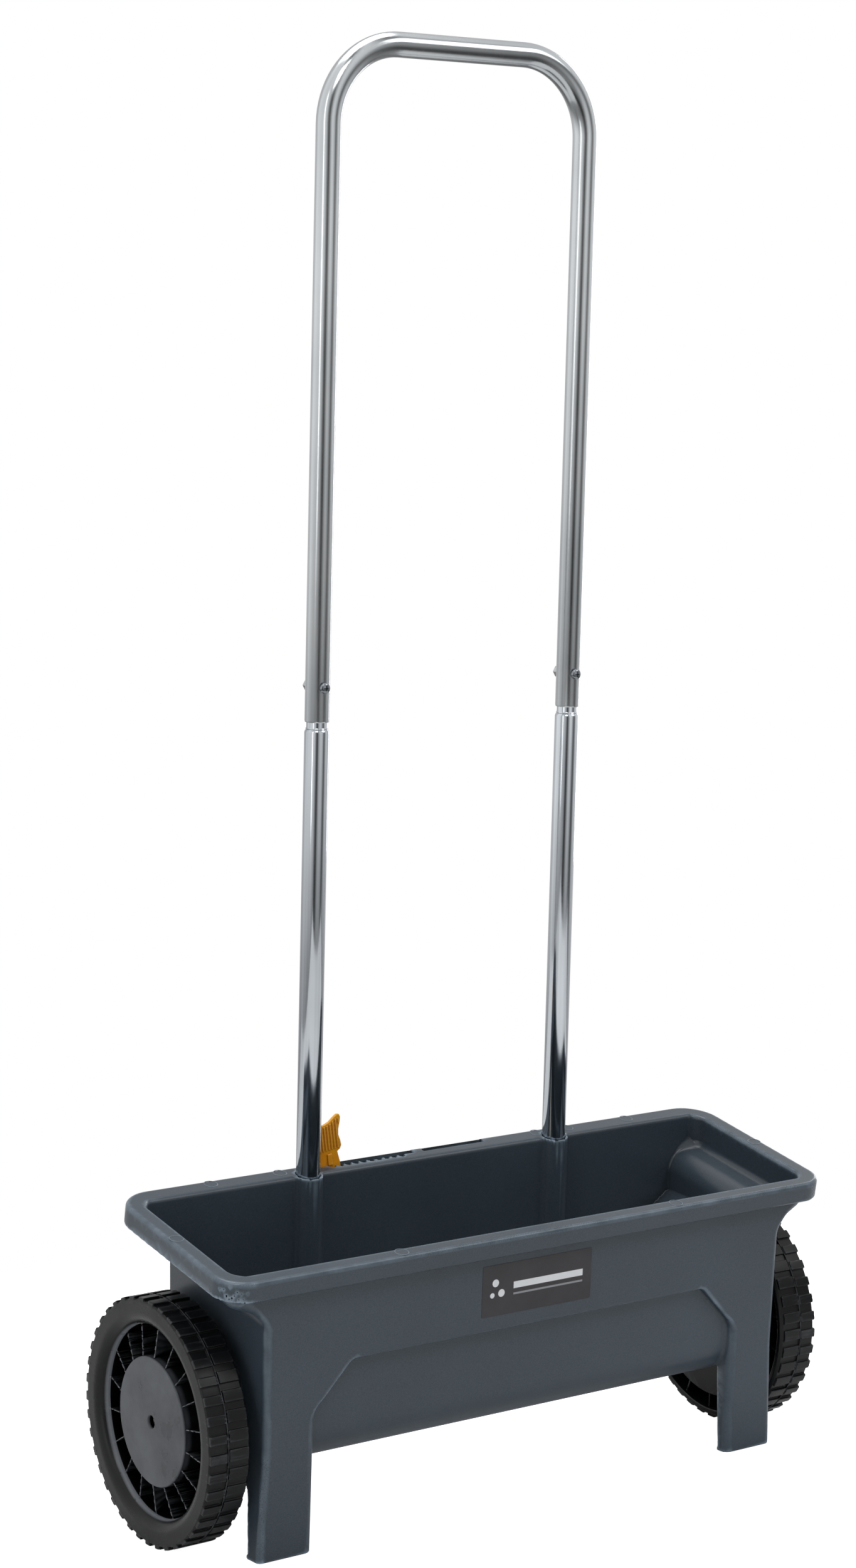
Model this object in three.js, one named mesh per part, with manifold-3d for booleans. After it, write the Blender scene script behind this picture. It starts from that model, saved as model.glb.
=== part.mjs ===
// Walk-behind garden drop spreader: moulded hopper on two wheels, bolted steel handle,
// dosing lever on the rear flange and a sliding shutter below a row of outlets.
// Millimetres, +Z up, +X to the right along the hopper, front (label and legs) towards -Y.
// Everything fixed to the hopper is drawn in the chassis frame, whose origin is the middle
// of the axle, and is then leaned forward to the parked position on wheels and legs.
import * as THREE from 'three';
import Module from 'manifold-3d';
import { mergeVertices } from 'three/addons/utils/BufferGeometryUtils.js';

const wasm = await Module();
wasm.setup();

// ---------------------------------------------------------------- driving dimensions
const WALL = 3;                 // moulded wall of the hopper
const FACE_WALL = 4;            // front wall and legs
const GAP = 0.3;                // clearance between neighbouring pieces
const LEAN = THREE.MathUtils.degToRad(4.3);      // chassis leans forward when parked
const WHEEL_R = 100;            // over the tread lugs
const WHEEL_IN = 268.5;         // inner face of a wheel, from the middle
const WHEEL_OUT = 307;          // outer face of a wheel

const RIM_SLOPE = THREE.MathUtils.degToRad(8.43);
const RIM_Y = -113.9;           // front edge of the rim
const RIM_Z = 141.2;
const RIM_HALF = 301;           // half length over the rim
const RIM_DEPTH = 182.6;        // front to back, along the slope
const RIM_R_FRONT = 24;
const RIM_R_BACK = 30;
const SKIRT = 16.8;             // height of the rim skirt
const SKIRT_WALL = 1.9;
const MOUTH = { half: 285, r: 13 };
const SHELF_TOP = 26;           // depth of the end shelves below the rim
const SHELF_LOW = 33;

const FRONT_Y = -100.6;         // outer face of the front wall
const BACK_Y = 51;              // outer face of the rear wall
const END_X = 256.5;            // outer face of the end plates
const RECESS = { z: 58, low: 22, in: 176, out: 210 };
const TROUGH = { half: 200, front: -93.3, z: -27, r: 38, corner: 25 };
const FUNNEL_Z = 96;            // where the sloping end floors meet the end plates
const LEG = { inner: 210, depth: 17, sole: 4, shelfZ: -34 };
const LOBE_R = 34;              // end plate around the axle

const TUBE = { x: 126.5, y: 50, r: 10.1, bore: 8.9 };
const SOCKET = { r: 12.45, bore: 10.4, z: 60, floor: 66, screwZ: 120 };
const SLEEVE_Z = 542.4;         // lower end of the upper tube
const SWAGE_Z = 534.7;          // shoulder of the lower tubes
const SWAGE_R = 8.6;
const SPIGOT_Z = 600;
const BOLT_Z = 570.8;
const HANDLE_TOP = 1079.4;      // centre line of the grip
const BEND_R = 65;

const LEVER = { x: -80.7, z: 20, front: 61.6, back: 64.4, lean: THREE.MathUtils.degToRad(8) };
const PIN_DROP = 50;            // lever pivot down to the shutter pin
const SLOT = { front: 175.8, back: 180.7, left: -118.5, tieL: -13.7, tieR: -4, right: 59 };
const NOTCH = { count: 10, first: -97, pitch: 7.7, half: 2.3, depth: 5 };

const OUTLET = { count: 10, pitch: 38, length: 10, width: 6 };
const SHUTTER = { left: -180, right: 190, y: 12, top: -27.3, bottom: -29.3 };
const AXLE_R = 5;
const AXLE_END = 291.7;
const DRIVE_X = 277;            // cross pin that locks the right wheel to the axle
const SHUT_TRAVEL = 24.5;       // shutter travel between closed and fully open
const LABEL = { half: 55, low: 73, high: 114.5, t: 0.6 };

// ---------------------------------------------------------------- materials
const material = (color, roughness, metalness = 0) =>
  new THREE.MeshStandardMaterial({ color, roughness, metalness });
const SLATE = material(0x3d454d, 0.5);
const BLACK = material(0x1d1f20, 0.6);
const LABEL_INK = material(0x23262a, 0.4);
const AMBER = material(0xf59e0b, 0.4);
const STEEL = material(0xb4b8bd, 0.3, 1);
const ZINC = material(0xc9ccd1, 0.25, 1);
const NYLON = material(0xe6e4dc, 0.5);

// ---------------------------------------------------------------- solid helpers
const { Manifold, Mesh } = wasm;
const X = new THREE.Vector3(1, 0, 0);
const Y = new THREE.Vector3(0, 1, 0);
const Z = new THREE.Vector3(0, 0, 1);

function solid(geometry) {
  geometry.deleteAttribute('normal');
  geometry.deleteAttribute('uv');
  const g = mergeVertices(geometry, 1e-3);
  const index = g.index.array;
  const tris = [];
  for (let i = 0; i < index.length; i += 3) {
    const [a, b, c] = [index[i], index[i + 1], index[i + 2]];
    if (a !== b && b !== c && a !== c) tris.push(a, b, c);
  }
  return new Manifold(new Mesh({
    numProp: 3,
    vertProperties: new Float32Array(g.attributes.position.array),
    triVerts: new Uint32Array(tris),
  }));
}

function toGeometry(body) {
  const { vertProperties, triVerts } = body.getMesh();
  const g = new THREE.BufferGeometry();
  g.setAttribute('position', new THREE.BufferAttribute(new Float32Array(vertProperties), 3));
  g.setIndex(new THREE.BufferAttribute(new Uint32Array(triVerts), 1));
  return g;
}

const polygon = (points) => new THREE.Shape(points.map(([a, b]) => new THREE.Vector2(a, b)));

function roundedRect(x0, x1, y0, y1, rFront, rBack = rFront) {
  const s = new THREE.Shape();
  s.moveTo(x0 + rFront, y0);
  s.lineTo(x1 - rFront, y0);
  s.absarc(x1 - rFront, y0 + rFront, rFront, -Math.PI / 2, 0);
  s.lineTo(x1, y1 - rBack);
  s.absarc(x1 - rBack, y1 - rBack, rBack, 0, Math.PI / 2);
  s.lineTo(x0 + rBack, y1);
  s.absarc(x0 + rBack, y1 - rBack, rBack, Math.PI / 2, Math.PI);
  s.lineTo(x0, y0 + rFront);
  s.absarc(x0 + rFront, y0 + rFront, rFront, Math.PI, 1.5 * Math.PI);
  return s;
}

const extrude = (shape, depth, curveSegments = 5) =>
  new THREE.ExtrudeGeometry(shape, { depth, bevelEnabled: false, curveSegments });

// A shape in (x, y) raised from z0 to z1.
const alongZ = (shape, z0, z1, seg) => solid(extrude(shape, z1 - z0, seg).translate(0, 0, z0));

// A shape in (y, z) run from x0 to x1.
const alongX = (shape, x0, x1, seg) => solid(
  extrude(shape, x1 - x0, seg).applyMatrix4(new THREE.Matrix4().makeBasis(Y, Z, X)).translate(x0, 0, 0));

// A shape in (x, z) run from y0 to y1.
const alongY = (shape, y0, y1, seg) => solid(
  extrude(shape, y1 - y0, seg)
    .applyMatrix4(new THREE.Matrix4().makeBasis(X, Z, Y.clone().negate())).translate(0, y1, 0));

const toRim = new THREE.Matrix4().makeRotationX(RIM_SLOPE).setPosition(0, RIM_Y, RIM_Z);

// A shape in the rim plane (x, distance from the front edge), raised from n0 to n1 above it.
const onRim = (shape, n0, n1, seg) => solid(
  extrude(shape, n1 - n0, seg).translate(0, 0, n0).applyMatrix4(toRim));

// A shape in (x, height above the rim) run from u0 to u1 along the rim slope.
const acrossRim = (shape, u0, u1) => solid(
  extrude(shape, u1 - u0).applyMatrix4(new THREE.Matrix4().makeBasis(X, Z, Y.clone().negate()))
    .translate(0, u1, 0).applyMatrix4(toRim));

const box = (x0, x1, y0, y1, z0, z1) => solid(
  new THREE.BoxGeometry(x1 - x0, y1 - y0, z1 - z0)
    .translate((x0 + x1) / 2, (y0 + y1) / 2, (z0 + z1) / 2));

function rod(axis, r, from, to, [a, b] = [0, 0], seg = 20) {
  const g = new THREE.CylinderGeometry(r, r, to - from, seg);
  if (axis === 'x') return solid(g.rotateZ(-Math.PI / 2).translate((from + to) / 2, a, b));
  if (axis === 'y') return solid(g.translate(a, (from + to) / 2, b));
  return solid(g.rotateX(Math.PI / 2).translate(a, b, (from + to) / 2));
}

// A closed (radius, height) profile turned about the X, Y or Z axis, in either direction.
function turned(axis, profile, seg = 18) {
  const points = profile.map(([r, h]) => new THREE.Vector2(r, h));
  if (THREE.ShapeUtils.area(points) < 0) points.reverse();
  points.push(points[0].clone());
  const g = new THREE.LatheGeometry(points, seg);
  if (axis === 'x') g.rotateZ(-Math.PI / 2);
  if (axis === 'z') g.rotateX(Math.PI / 2);
  return solid(g);
}

const join = (...bodies) => bodies.reduce((a, b) => a.add(b));
const cut = (body, ...tools) => tools.reduce((a, b) => a.subtract(b), body);
const mirrored = (body) => body.mirror([1, 0, 0]);
const both = (body) => body.add(mirrored(body));

const rimHeight = (y) => RIM_Z + (y - RIM_Y) * Math.tan(RIM_SLOPE);
const groundZ = (y) => -(WHEEL_R + y * Math.sin(LEAN)) / Math.cos(LEAN);

// ---------------------------------------------------------------- hopper
function rimFlange() {
  const outer = roundedRect(-RIM_HALF, RIM_HALF, 0, RIM_DEPTH, RIM_R_FRONT, RIM_R_BACK);
  const t = SKIRT_WALL;
  const inner = roundedRect(-RIM_HALF + t, RIM_HALF - t, t, RIM_DEPTH - t,
    RIM_R_FRONT - t, RIM_R_BACK - t);
  return cut(onRim(outer, -SKIRT, 0), onRim(inner, -SKIRT - 1, -WALL));
}

function basin(grow) {
  const half = MOUTH.half + grow;
  const throat = END_X - WALL + grow;
  const section = polygon([[-half, 1], [-half, -SHELF_TOP - grow], [-throat, -SHELF_LOW - grow],
    [throat, -SHELF_LOW - grow], [half, -SHELF_TOP - grow], [half, 1]]);
  const inset = WALL - grow;
  const plan = roundedRect(-half, half, FRONT_Y + inset, BACK_Y - inset, MOUTH.r + grow);
  const lid = onRim(polygon([[-400, -90], [400, -90], [400, 290], [-400, 290]]), -90, grow ? -1 : 1);
  return acrossRim(section, -60, 250).intersect(alongZ(plan, 60, 200)).intersect(lid);
}

// Upper box with end floors sloping down to the trough; `inset` 0 gives the skin.
function upperBox(inset) {
  const x = END_X - inset;
  const t = TROUGH.half - inset;
  const lift = inset * 1.4;
  const section = polygon([[-x, 190], [-x, FUNNEL_Z + lift], [-t, RECESS.z - WALL + inset],
    [t, RECESS.z - WALL + inset], [x, FUNNEL_Z + lift], [x, 190]]);
  const under = onRim(polygon([[-400, -50], [400, -50], [400, 250], [-400, 250]]), -300, -1);
  return alongY(section, FRONT_Y + inset, BACK_Y - inset).intersect(under);
}

function trough(inset) {
  const { half, front, z, r, corner } = TROUGH;
  const s = new THREE.Shape();
  const top = RECESS.z + (inset ? WALL + 2 : WALL);
  s.moveTo(front + inset, top);
  s.lineTo(front + inset, z + r);
  s.absarc(front + r, z + r, r - inset, Math.PI, 1.5 * Math.PI);
  s.lineTo(BACK_Y - r, z + inset);
  s.absarc(BACK_Y - r, z + r, r - inset, 1.5 * Math.PI, 2 * Math.PI);
  s.lineTo(BACK_Y - inset, top);
  const plan = roundedRect(-half + inset, half - inset, front + inset, BACK_Y + 60, corner - inset);
  return alongX(s, -half + inset, half - inset, 8).intersect(alongZ(plan, z - 1, top + 1));
}

function frontWall() {
  const g = groundZ(FRONT_Y);
  const top = rimHeight(FRONT_Y) - 2;
  const { z, low, in: a, out: b } = RECESS;
  const face = polygon([[-END_X, top], [-END_X, g], [-b, g], [-b, low], [-a, z], [a, z],
    [b, low], [b, g], [END_X, g], [END_X, top]]);
  const frame = polygon([[-b - WALL, low], [-b, low], [-a, z], [a, z], [b, low], [b + WALL, low],
    [b + WALL, low + 2], [a + 1.5, z + WALL], [-a - 1.5, z + WALL], [-b - WALL, low + 2]]);
  return join(alongY(face, FRONT_Y, FRONT_Y + FACE_WALL),
    alongY(frame, FRONT_Y, TROUGH.front + WALL));
}

// Side profile of an end plate: leg, scalloped lower edge and lobe around the axle.
function plateProfile() {
  const s = new THREE.Shape();
  const toe = groundZ(FRONT_Y);
  const heel = FRONT_Y + LEG.depth;
  const knee = FRONT_Y + LEG.depth + 8;
  s.moveTo(FRONT_Y, rimHeight(FRONT_Y) - SHELF_TOP);
  s.lineTo(FRONT_Y, toe);
  s.lineTo(heel - 3, groundZ(heel - 3));
  s.lineTo(heel, groundZ(heel) + 3);
  s.lineTo(knee, LEG.shelfZ - 10);
  s.absarc(knee + 10, LEG.shelfZ - 10, 10, Math.PI, Math.PI / 2, true);
  s.lineTo(0, -LOBE_R);
  s.absarc(0, 0, LOBE_R, -Math.PI / 2, 0);
  s.lineTo(BACK_Y, 40);
  s.lineTo(BACK_Y, rimHeight(BACK_Y) - SHELF_TOP);
  return s;
}

function leg() {
  const { inner, depth, sole, shelfZ } = LEG;
  const toe = groundZ(FRONT_Y);
  const heel = FRONT_Y + depth;
  const s = new THREE.Shape();
  s.moveTo(FRONT_Y, FUNNEL_Z - 22);
  s.lineTo(FRONT_Y, toe);
  s.lineTo(heel - 3, groundZ(heel - 3));
  s.lineTo(heel, groundZ(heel) + 3);
  s.lineTo(heel, shelfZ - 10);
  s.absarc(heel + 10, shelfZ - 10, 10, Math.PI, Math.PI / 2, true);
  s.lineTo(heel + 14, shelfZ);
  s.lineTo(heel + 14, RECESS.z + 4);
  const foot = polygon([[FRONT_Y, toe], [heel - 3, groundZ(heel - 3)], [heel, groundZ(heel) + 3],
    [heel, groundZ(heel) + sole], [FRONT_Y, toe + sole]]);
  return join(alongX(s, inner, inner + FACE_WALL), alongX(foot, inner, END_X));
}

function endPlate() {
  const plate = alongX(plateProfile(), END_X - WALL, END_X);
  return join(plate, rod('x', 17, END_X - 10, END_X + 1.5, [0, 0], 24));
}

function tubeSocket() {
  const under = onRim(polygon([[-400, -50], [400, -50], [400, 250], [-400, 250]]), -300, 0);
  return rod('z', SOCKET.r, SOCKET.z, 190, [TUBE.x, TUBE.y], 20).intersect(under);
}

// Slot for the lever in the rear flange, with scalloped notches along its front edge.
function leverSlot() {
  const { front, back, left, tieL, tieR, right } = SLOT;
  const { count, first, pitch, half, depth } = NOTCH;
  const scallops = Array.from({ length: count }, (_, i) => first + i * pitch)
    .flatMap((x) => [-1, -0.6, 0.6, 1].map((k) =>
      [x + k * half, front - depth * Math.sqrt(1 - k * k)]));
  const run = polygon([[left, front], ...scallops, [tieL, front], [tieL, back], [left, back]]);
  const spare = polygon([[tieR, front], [right, front], [right, back], [tieR, back]]);
  return join(onRim(run, -WALL - 2, 2), onRim(spare, -WALL - 2, 2));
}

const outletX = (i) => (i - (OUTLET.count - 1) / 2) * OUTLET.pitch;

function outletCuts(z0, z1, shift) {
  const { length, width, count } = OUTLET;
  return Array.from({ length: count }, (_, i) => outletX(i) + shift)
    .map((x) => box(x - length / 2, x + length / 2, -width / 2, width / 2, z0, z1));
}

function hopper() {
  const skin = join(rimFlange(), basin(WALL), upperBox(0), trough(0));
  const shell = cut(skin, basin(0), upperBox(WALL), trough(WALL));
  const fixed = join(shell, frontWall(), both(endPlate()), both(leg()));
  const sockets = both(tubeSocket());
  const boss = rod('y', 9, BACK_Y - 1, LEVER.front - GAP, [LEVER.x, LEVER.z]);
  const bores = both(join(
    rod('z', SOCKET.bore, SOCKET.floor, 200, [TUBE.x, TUBE.y], 20),
    rod('x', 9.3, END_X - 14, END_X + 4, [0, 0], 24),
    rod('x', 9.3, TROUGH.half - WALL - 1, TROUGH.half + 1, [0, 0], 24),
    rod('y', 2.4, TUBE.y, TUBE.y + 20, [TUBE.x, SOCKET.screwZ], 12)));
  const pivot = rod('y', 2.6, BACK_Y - 5, LEVER.front + 1, [LEVER.x, LEVER.z], 12);
  const guides = guideScrewSpots().map(([x, y]) =>
    rod('z', 1.8, TROUGH.z - 1, TROUGH.z + WALL + 3, [x, y], 8));
  return cut(join(fixed, sockets, boss), bores, pivot, leverSlot(),
    ...outletCuts(TROUGH.z - 1, TROUGH.z + WALL + 1, 0), ...guides);
}

function label() {
  const { half, low, high, t } = LABEL;
  return alongY(roundedRect(-half, half, low, high, 2), FRONT_Y - GAP - t, FRONT_Y - GAP, 3);
}

// ---------------------------------------------------------------- handle
class HandlePath extends THREE.Curve {
  constructor(stations) {
    super();
    this.stations = stations;
  }
  at(u) {
    return this.stations[Math.round(u * (this.stations.length - 1))];
  }
  getPoint(u) { return this.at(u).point.clone(); }
  getPointAt(u) { return this.getPoint(u); }
  getTangentAt(u) { return this.at(u).tangent.clone(); }
}

function handleStations() {
  const { x, y } = TUBE;
  const steps = 6;
  const list = [{ point: new THREE.Vector3(-x, y, SLEEVE_Z), tangent: Z.clone() }];
  for (const side of [-1, 1]) {
    for (let i = 0; i <= steps; i += 1) {
      const turn = (side < 0 ? i : steps - i) / steps * (Math.PI / 2);
      list.push({
        point: new THREE.Vector3(side * (x - BEND_R + BEND_R * Math.cos(turn)), y,
          HANDLE_TOP - BEND_R + BEND_R * Math.sin(turn)),
        tangent: new THREE.Vector3(Math.sin(turn), 0, -side * Math.cos(turn)),
      });
    }
  }
  list.push({ point: new THREE.Vector3(x, y, SLEEVE_Z), tangent: Z.clone().negate() });
  return list;
}

function handleUpper() {
  const stations = handleStations();
  const ring = new THREE.Shape();
  ring.absarc(0, 0, TUBE.r, 0, 2 * Math.PI);
  const hole = new THREE.Path();
  hole.absarc(0, 0, TUBE.bore, 0, 2 * Math.PI, true);
  ring.holes.push(hole);
  const tube = solid(new THREE.ExtrudeGeometry(ring, {
    steps: stations.length - 1, curveSegments: 8, bevelEnabled: false,
    extrudePath: new HandlePath(stations),
  }));
  return cut(tube, both(boltHole()));
}

const boltHole = () => rod('y', 3, TUBE.y - 20, TUBE.y + 20, [TUBE.x, BOLT_Z], 12);

function handleLower() {
  const { r, bore, x, y } = TUBE;
  const foot = SOCKET.floor + GAP;
  const tube = turned('z', [[bore, foot], [r, foot], [r, SWAGE_Z - 6], [SWAGE_R, SWAGE_Z],
    [SWAGE_R, SPIGOT_Z], [SWAGE_R - 1.2, SPIGOT_Z], [SWAGE_R - 1.2, SWAGE_Z - 1], [bore, SWAGE_Z - 7]],
  20).translate([x, y, 0]);
  return cut(tube, boltHole(), rod('y', 2.4, y + 5, y + 14, [x, SOCKET.screwZ], 12));
}

function handleBolt() {
  const front = TUBE.y - TUBE.r - GAP;
  return turned('y', [[0, front - 3.4], [3.2, front - 3.4], [4.4, front - 2.2], [4.6, front],
    [2.6, front], [2.6, front + 27], [0, front + 27]], 14).translate([TUBE.x, 0, BOLT_Z]);
}

function handleNut() {
  const rear = TUBE.y + TUBE.r + GAP;
  return cut(rod('y', 5.2, rear, rear + 4.4, [TUBE.x, BOLT_Z], 6),
    rod('y', 2.9, rear - 1, rear + 6, [TUBE.x, BOLT_Z], 12));
}

function socketScrew() {
  const seat = TUBE.y + SOCKET.r + GAP;
  return turned('y', [[0, seat + 2.6], [2.6, seat + 2.4], [4.1, seat + 0.8], [4.1, seat],
    [2.1, seat], [2.1, seat - 8], [0, seat - 9]], 12).translate([TUBE.x, 0, SOCKET.screwZ]);
}

// ---------------------------------------------------------------- running gear
const crossHole = () => rod('z', 2.1, -14, 14, [DRIVE_X, 0], 12);

function axle() {
  const half = [[0, 0], [AXLE_R, 0], [AXLE_R, AXLE_END], [2.9, AXLE_END], [2.9, AXLE_END - 9],
    [0, AXLE_END - 9]];
  return cut(both(turned('x', half, 16)), crossHole());
}

function agitator() {
  const s = new THREE.Shape();
  const blades = 6;
  for (let i = 0; i < blades; i += 1) {
    const mid = (i / blades) * 2 * Math.PI;
    for (const [da, r] of [[-0.42, 9], [-0.09, 21], [0.09, 21], [0.42, 9]]) {
      s[i || da !== -0.42 ? 'lineTo' : 'moveTo'](r * Math.cos(mid + da), r * Math.sin(mid + da));
    }
  }
  const hole = new THREE.Path();
  hole.absarc(0, 0, AXLE_R + GAP, 0, 2 * Math.PI, true);
  s.holes.push(hole);
  const half = TROUGH.half - WALL - 4;
  const waists = [-120, -40, 40, 120].map((x) => cut(rod('x', 23, x - 5, x + 5, [0, 0], 12),
    rod('x', 10, x - 6, x + 6, [0, 0], 12)));
  return cut(alongX(s, -half, half, 8), ...waists);
}

function axleBush() {
  return turned('x', [[AXLE_R + GAP, END_X - 10], [9, END_X - 10], [9, END_X + 1.8],
    [15, END_X + 1.8], [15, END_X + 4.5], [AXLE_R + GAP, END_X + 4.5]]);
}

function axleSeal() {
  const face = TROUGH.half + GAP;
  return turned('x', [[AXLE_R + GAP, face - 4], [9, face - 4], [9, face], [14, face], [14, face + 2.5],
    [AXLE_R + GAP, face + 2.5]]);
}

function axleSpacer() {
  return turned('x', [[AXLE_R + GAP, END_X + 4.8], [8, END_X + 4.8], [8, WHEEL_IN + 1.2],
    [AXLE_R + GAP, WHEEL_IN + 1.2]], 16);
}

const WHEEL = {
  web: WHEEL_IN + 4.5, inner: WHEEL_IN + 1.5, drum: 76, hubDisc: 52, disc: 301, barrel: 292,
  tread: 92, base: 98, core: 97.5, lugs: 41, ribs: 18,
};

function treadLugs(x0, x1) {
  const land = 0.55;
  const step = (2 * Math.PI) / WHEEL.lugs;
  const outline = Array.from({ length: WHEEL.lugs }, (_, i) => i * step).flatMap((from) =>
    [[from, WHEEL.base], [from, WHEEL_R], [from + land * step, WHEEL_R], [from + land * step, WHEEL.base]])
    .map(([a, r]) => [r * Math.cos(a), r * Math.sin(a)]);
  const s = polygon(outline);
  const hole = new THREE.Path();
  hole.absarc(0, 0, WHEEL.base - 2, 0, 2 * Math.PI, true);
  s.holes.push(hole);
  return alongX(s, x0, x1, 16);
}

function wheelRibs(r0, r1, x0, x1) {
  const t = 0.8;
  const blades = Array.from({ length: WHEEL.ribs }, (_, i) => solid(
    new THREE.BoxGeometry(x1 - x0, r1 - r0, 2 * t).translate((x0 + x1) / 2, (r0 + r1) / 2, 0)
      .rotateX((i / WHEEL.ribs) * 2 * Math.PI)));
  return join(...blades);
}

function wheel() {
  const { web, inner, drum, hubDisc, disc, barrel, tread, core } = WHEEL;
  const out = WHEEL_OUT;
  const section = [[AXLE_R + GAP, inner], [AXLE_R + GAP, barrel], [12, barrel], [12, web],
    [hubDisc - 3, web], [hubDisc - 3, disc - 3], [8, disc - 3], [8, disc], [hubDisc, disc],
    [hubDisc, web], [drum, web], [drum, out - 9], [78.5, out - 4], [84, out - 1], [89, out],
    [core - 1, out], [core, out - 1], [core, WHEEL_IN + 3], [core - 1.5, WHEEL_IN + 0.5],
    [tread, WHEEL_IN], [tread, out - 3.5], [88, out - 3.5], [83, out - 5], [drum + 3, out - 10],
    [drum + 3, inner]];
  return join(
    turned('x', section, 32),
    treadLugs(WHEEL_IN + 2, WHEEL_OUT - 1.3),
    wheelRibs(hubDisc - 1, drum + 1, web - 1, disc - 2));
}

const drivePin = () => rod('z', 1.8, -11.6, 11.6, [DRIVE_X, 0], 12);

function wheelWasher() {
  return turned('x', [[2.9, WHEEL.barrel + GAP], [7.4, WHEEL.barrel + GAP],
    [7.4, WHEEL.barrel + 1.8], [2.9, WHEEL.barrel + 1.8]], 16);
}

function wheelScrew() {
  const seat = WHEEL.barrel + 2.1;
  return turned('x', [[0, AXLE_END - 8], [2.5, AXLE_END - 8], [2.5, seat], [5.2, seat],
    [5.2, seat + 2], [3.8, seat + 3.4], [1.6, seat + 3.6], [1.2, seat + 2.2], [0, seat + 2.2]], 14);
}

// ---------------------------------------------------------------- dosing lever and shutter
function leverOutline() {
  const s = new THREE.Shape();
  const foot = -PIN_DROP - 10;
  s.moveTo(-6, foot);
  s.lineTo(6, foot);
  for (const [x, z] of [[7, -18], [11, -6], [11, 6], [8, 18], [8, 112], [14, 138], [14, 148],
    [12.4, 157.4], [15.4, 158.6], [16.9, 161.5], [15.2, 171], [18.4, 184]]) s.lineTo(x, z);
  s.quadraticCurveTo(18.6, 189, 14, 188.8);
  s.quadraticCurveTo(7, 183.2, 0, 182.4);
  s.quadraticCurveTo(-7, 183.2, -14, 188.8);
  s.quadraticCurveTo(-18.6, 189, -18.4, 184);
  for (const [x, z] of [[-15.2, 171], [-16.9, 161.5], [-15.4, 158.6], [-12.4, 157.4], [-14, 148],
    [-14, 138], [-8, 112], [-8, 18], [-11, 6], [-11, -6], [-7, -18]]) s.lineTo(x, z);
  return s;
}

function lever() {
  const { front, back } = LEVER;
  const plate = alongY(leverOutline(), front, back, 4);
  const ribs = [-12, -9, -6, -3, 0, 3, 6, 9, 12].map((x) =>
    box(x - 0.7, x + 0.7, front - 0.8, front + 0.5, 161, 180));
  const pointer = box(1.9, 6.1, front - 0.9, front + 0.5, 147.5, 157);
  const eye = rod('y', 3, front - 5, back + 5, [0, 0], 16);
  const fork = alongY(roundedRect(-3, 3, -PIN_DROP - 6.5, -PIN_DROP + 3.5, 2.9), front - 5, back + 5);
  return cut(join(plate, pointer, ...ribs), eye, fork)
    .rotate([0, -THREE.MathUtils.radToDeg(LEVER.lean), 0]).translate([LEVER.x, 0, LEVER.z]);
}

function leverScrew() {
  const seat = LEVER.back + 2.2;
  return turned('y', [[0, BACK_Y - 3], [2.3, BACK_Y - 3], [2.3, seat], [5.2, seat], [5, seat + 1.8],
    [3.4, seat + 3.2], [0, seat + 3.2]], 14).translate([LEVER.x, 0, LEVER.z]);
}

function leverWasher() {
  const near = LEVER.back + GAP;
  return turned('y', [[2.6, near], [8.5, near], [8.5, near + 1.6], [2.6, near + 1.6]], 16)
    .translate([LEVER.x, 0, LEVER.z]);
}

const pinX = LEVER.x + PIN_DROP * Math.tan(LEVER.lean);
const pinZ = LEVER.z - PIN_DROP;

function shutter() {
  const { left, right, y, top, bottom } = SHUTTER;
  const lugY = LEVER.front - 5;
  const plate = box(left, right, -y, y, bottom, top);
  const tail = box(pinX - 9, pinX + 9, y - 1, lugY, bottom, top);
  const lug = box(pinX - 9, pinX + 9, lugY, lugY + 2, bottom - 5, top);
  return cut(join(plate, tail, lug), ...outletCuts(bottom - 1, top + 1, SHUT_TRAVEL).slice(0, -1),
    rod('y', 2.1, lugY - 3, lugY + 3, [pinX, pinZ], 12));
}

function shutterPin() {
  const collar = LEVER.front - 5 + 2 + GAP;
  return turned('y', [[0, collar - 4], [1.8, collar - 4], [1.8, collar], [3, collar],
    [3, collar + 1.6], [1.8, collar + 1.6], [1.8, LEVER.back + 3], [0, LEVER.back + 3]], 12)
    .translate([pinX, 0, pinZ]);
}

const GUIDES = { front: [-195, 195, -1], rearLeft: [-195, -110, 1], rearRight: [-62, 195, 1] };
const guideScrewSpots = () => Object.values(GUIDES).flatMap(([x0, x1, s]) =>
  [[x0 + 12, s * 20], [x1 - 12, s * 20]]);

function guide([x0, x1, side]) {
  const { y, bottom } = SHUTTER;
  const top = TROUGH.z - GAP;
  const at = (a, b) => (side > 0 ? [a, b] : [-b, -a]);
  const [w0, w1] = at(y + 0.4, 25);
  const [l0, l1] = at(y - 3, 25);
  const rail = join(box(x0, x1, w0, w1, bottom - 2.6, top), box(x0, x1, l0, l1, bottom - 2.6, bottom - 0.4));
  return cut(rail, ...[x0 + 12, x1 - 12].map((x) =>
    rod('z', 1.9, bottom - 4, top + 1, [x, side * 20], 10)));
}

function guideScrew([x, y]) {
  const seat = SHUTTER.bottom - 2.9;
  return turned('z', [[0, seat - 1.8], [2.6, seat - 1.6], [3.4, seat], [1.5, seat],
    [1.5, TROUGH.z + WALL - 0.5], [0, TROUGH.z + WALL]], 10).translate([x, y, 0]);
}

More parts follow.
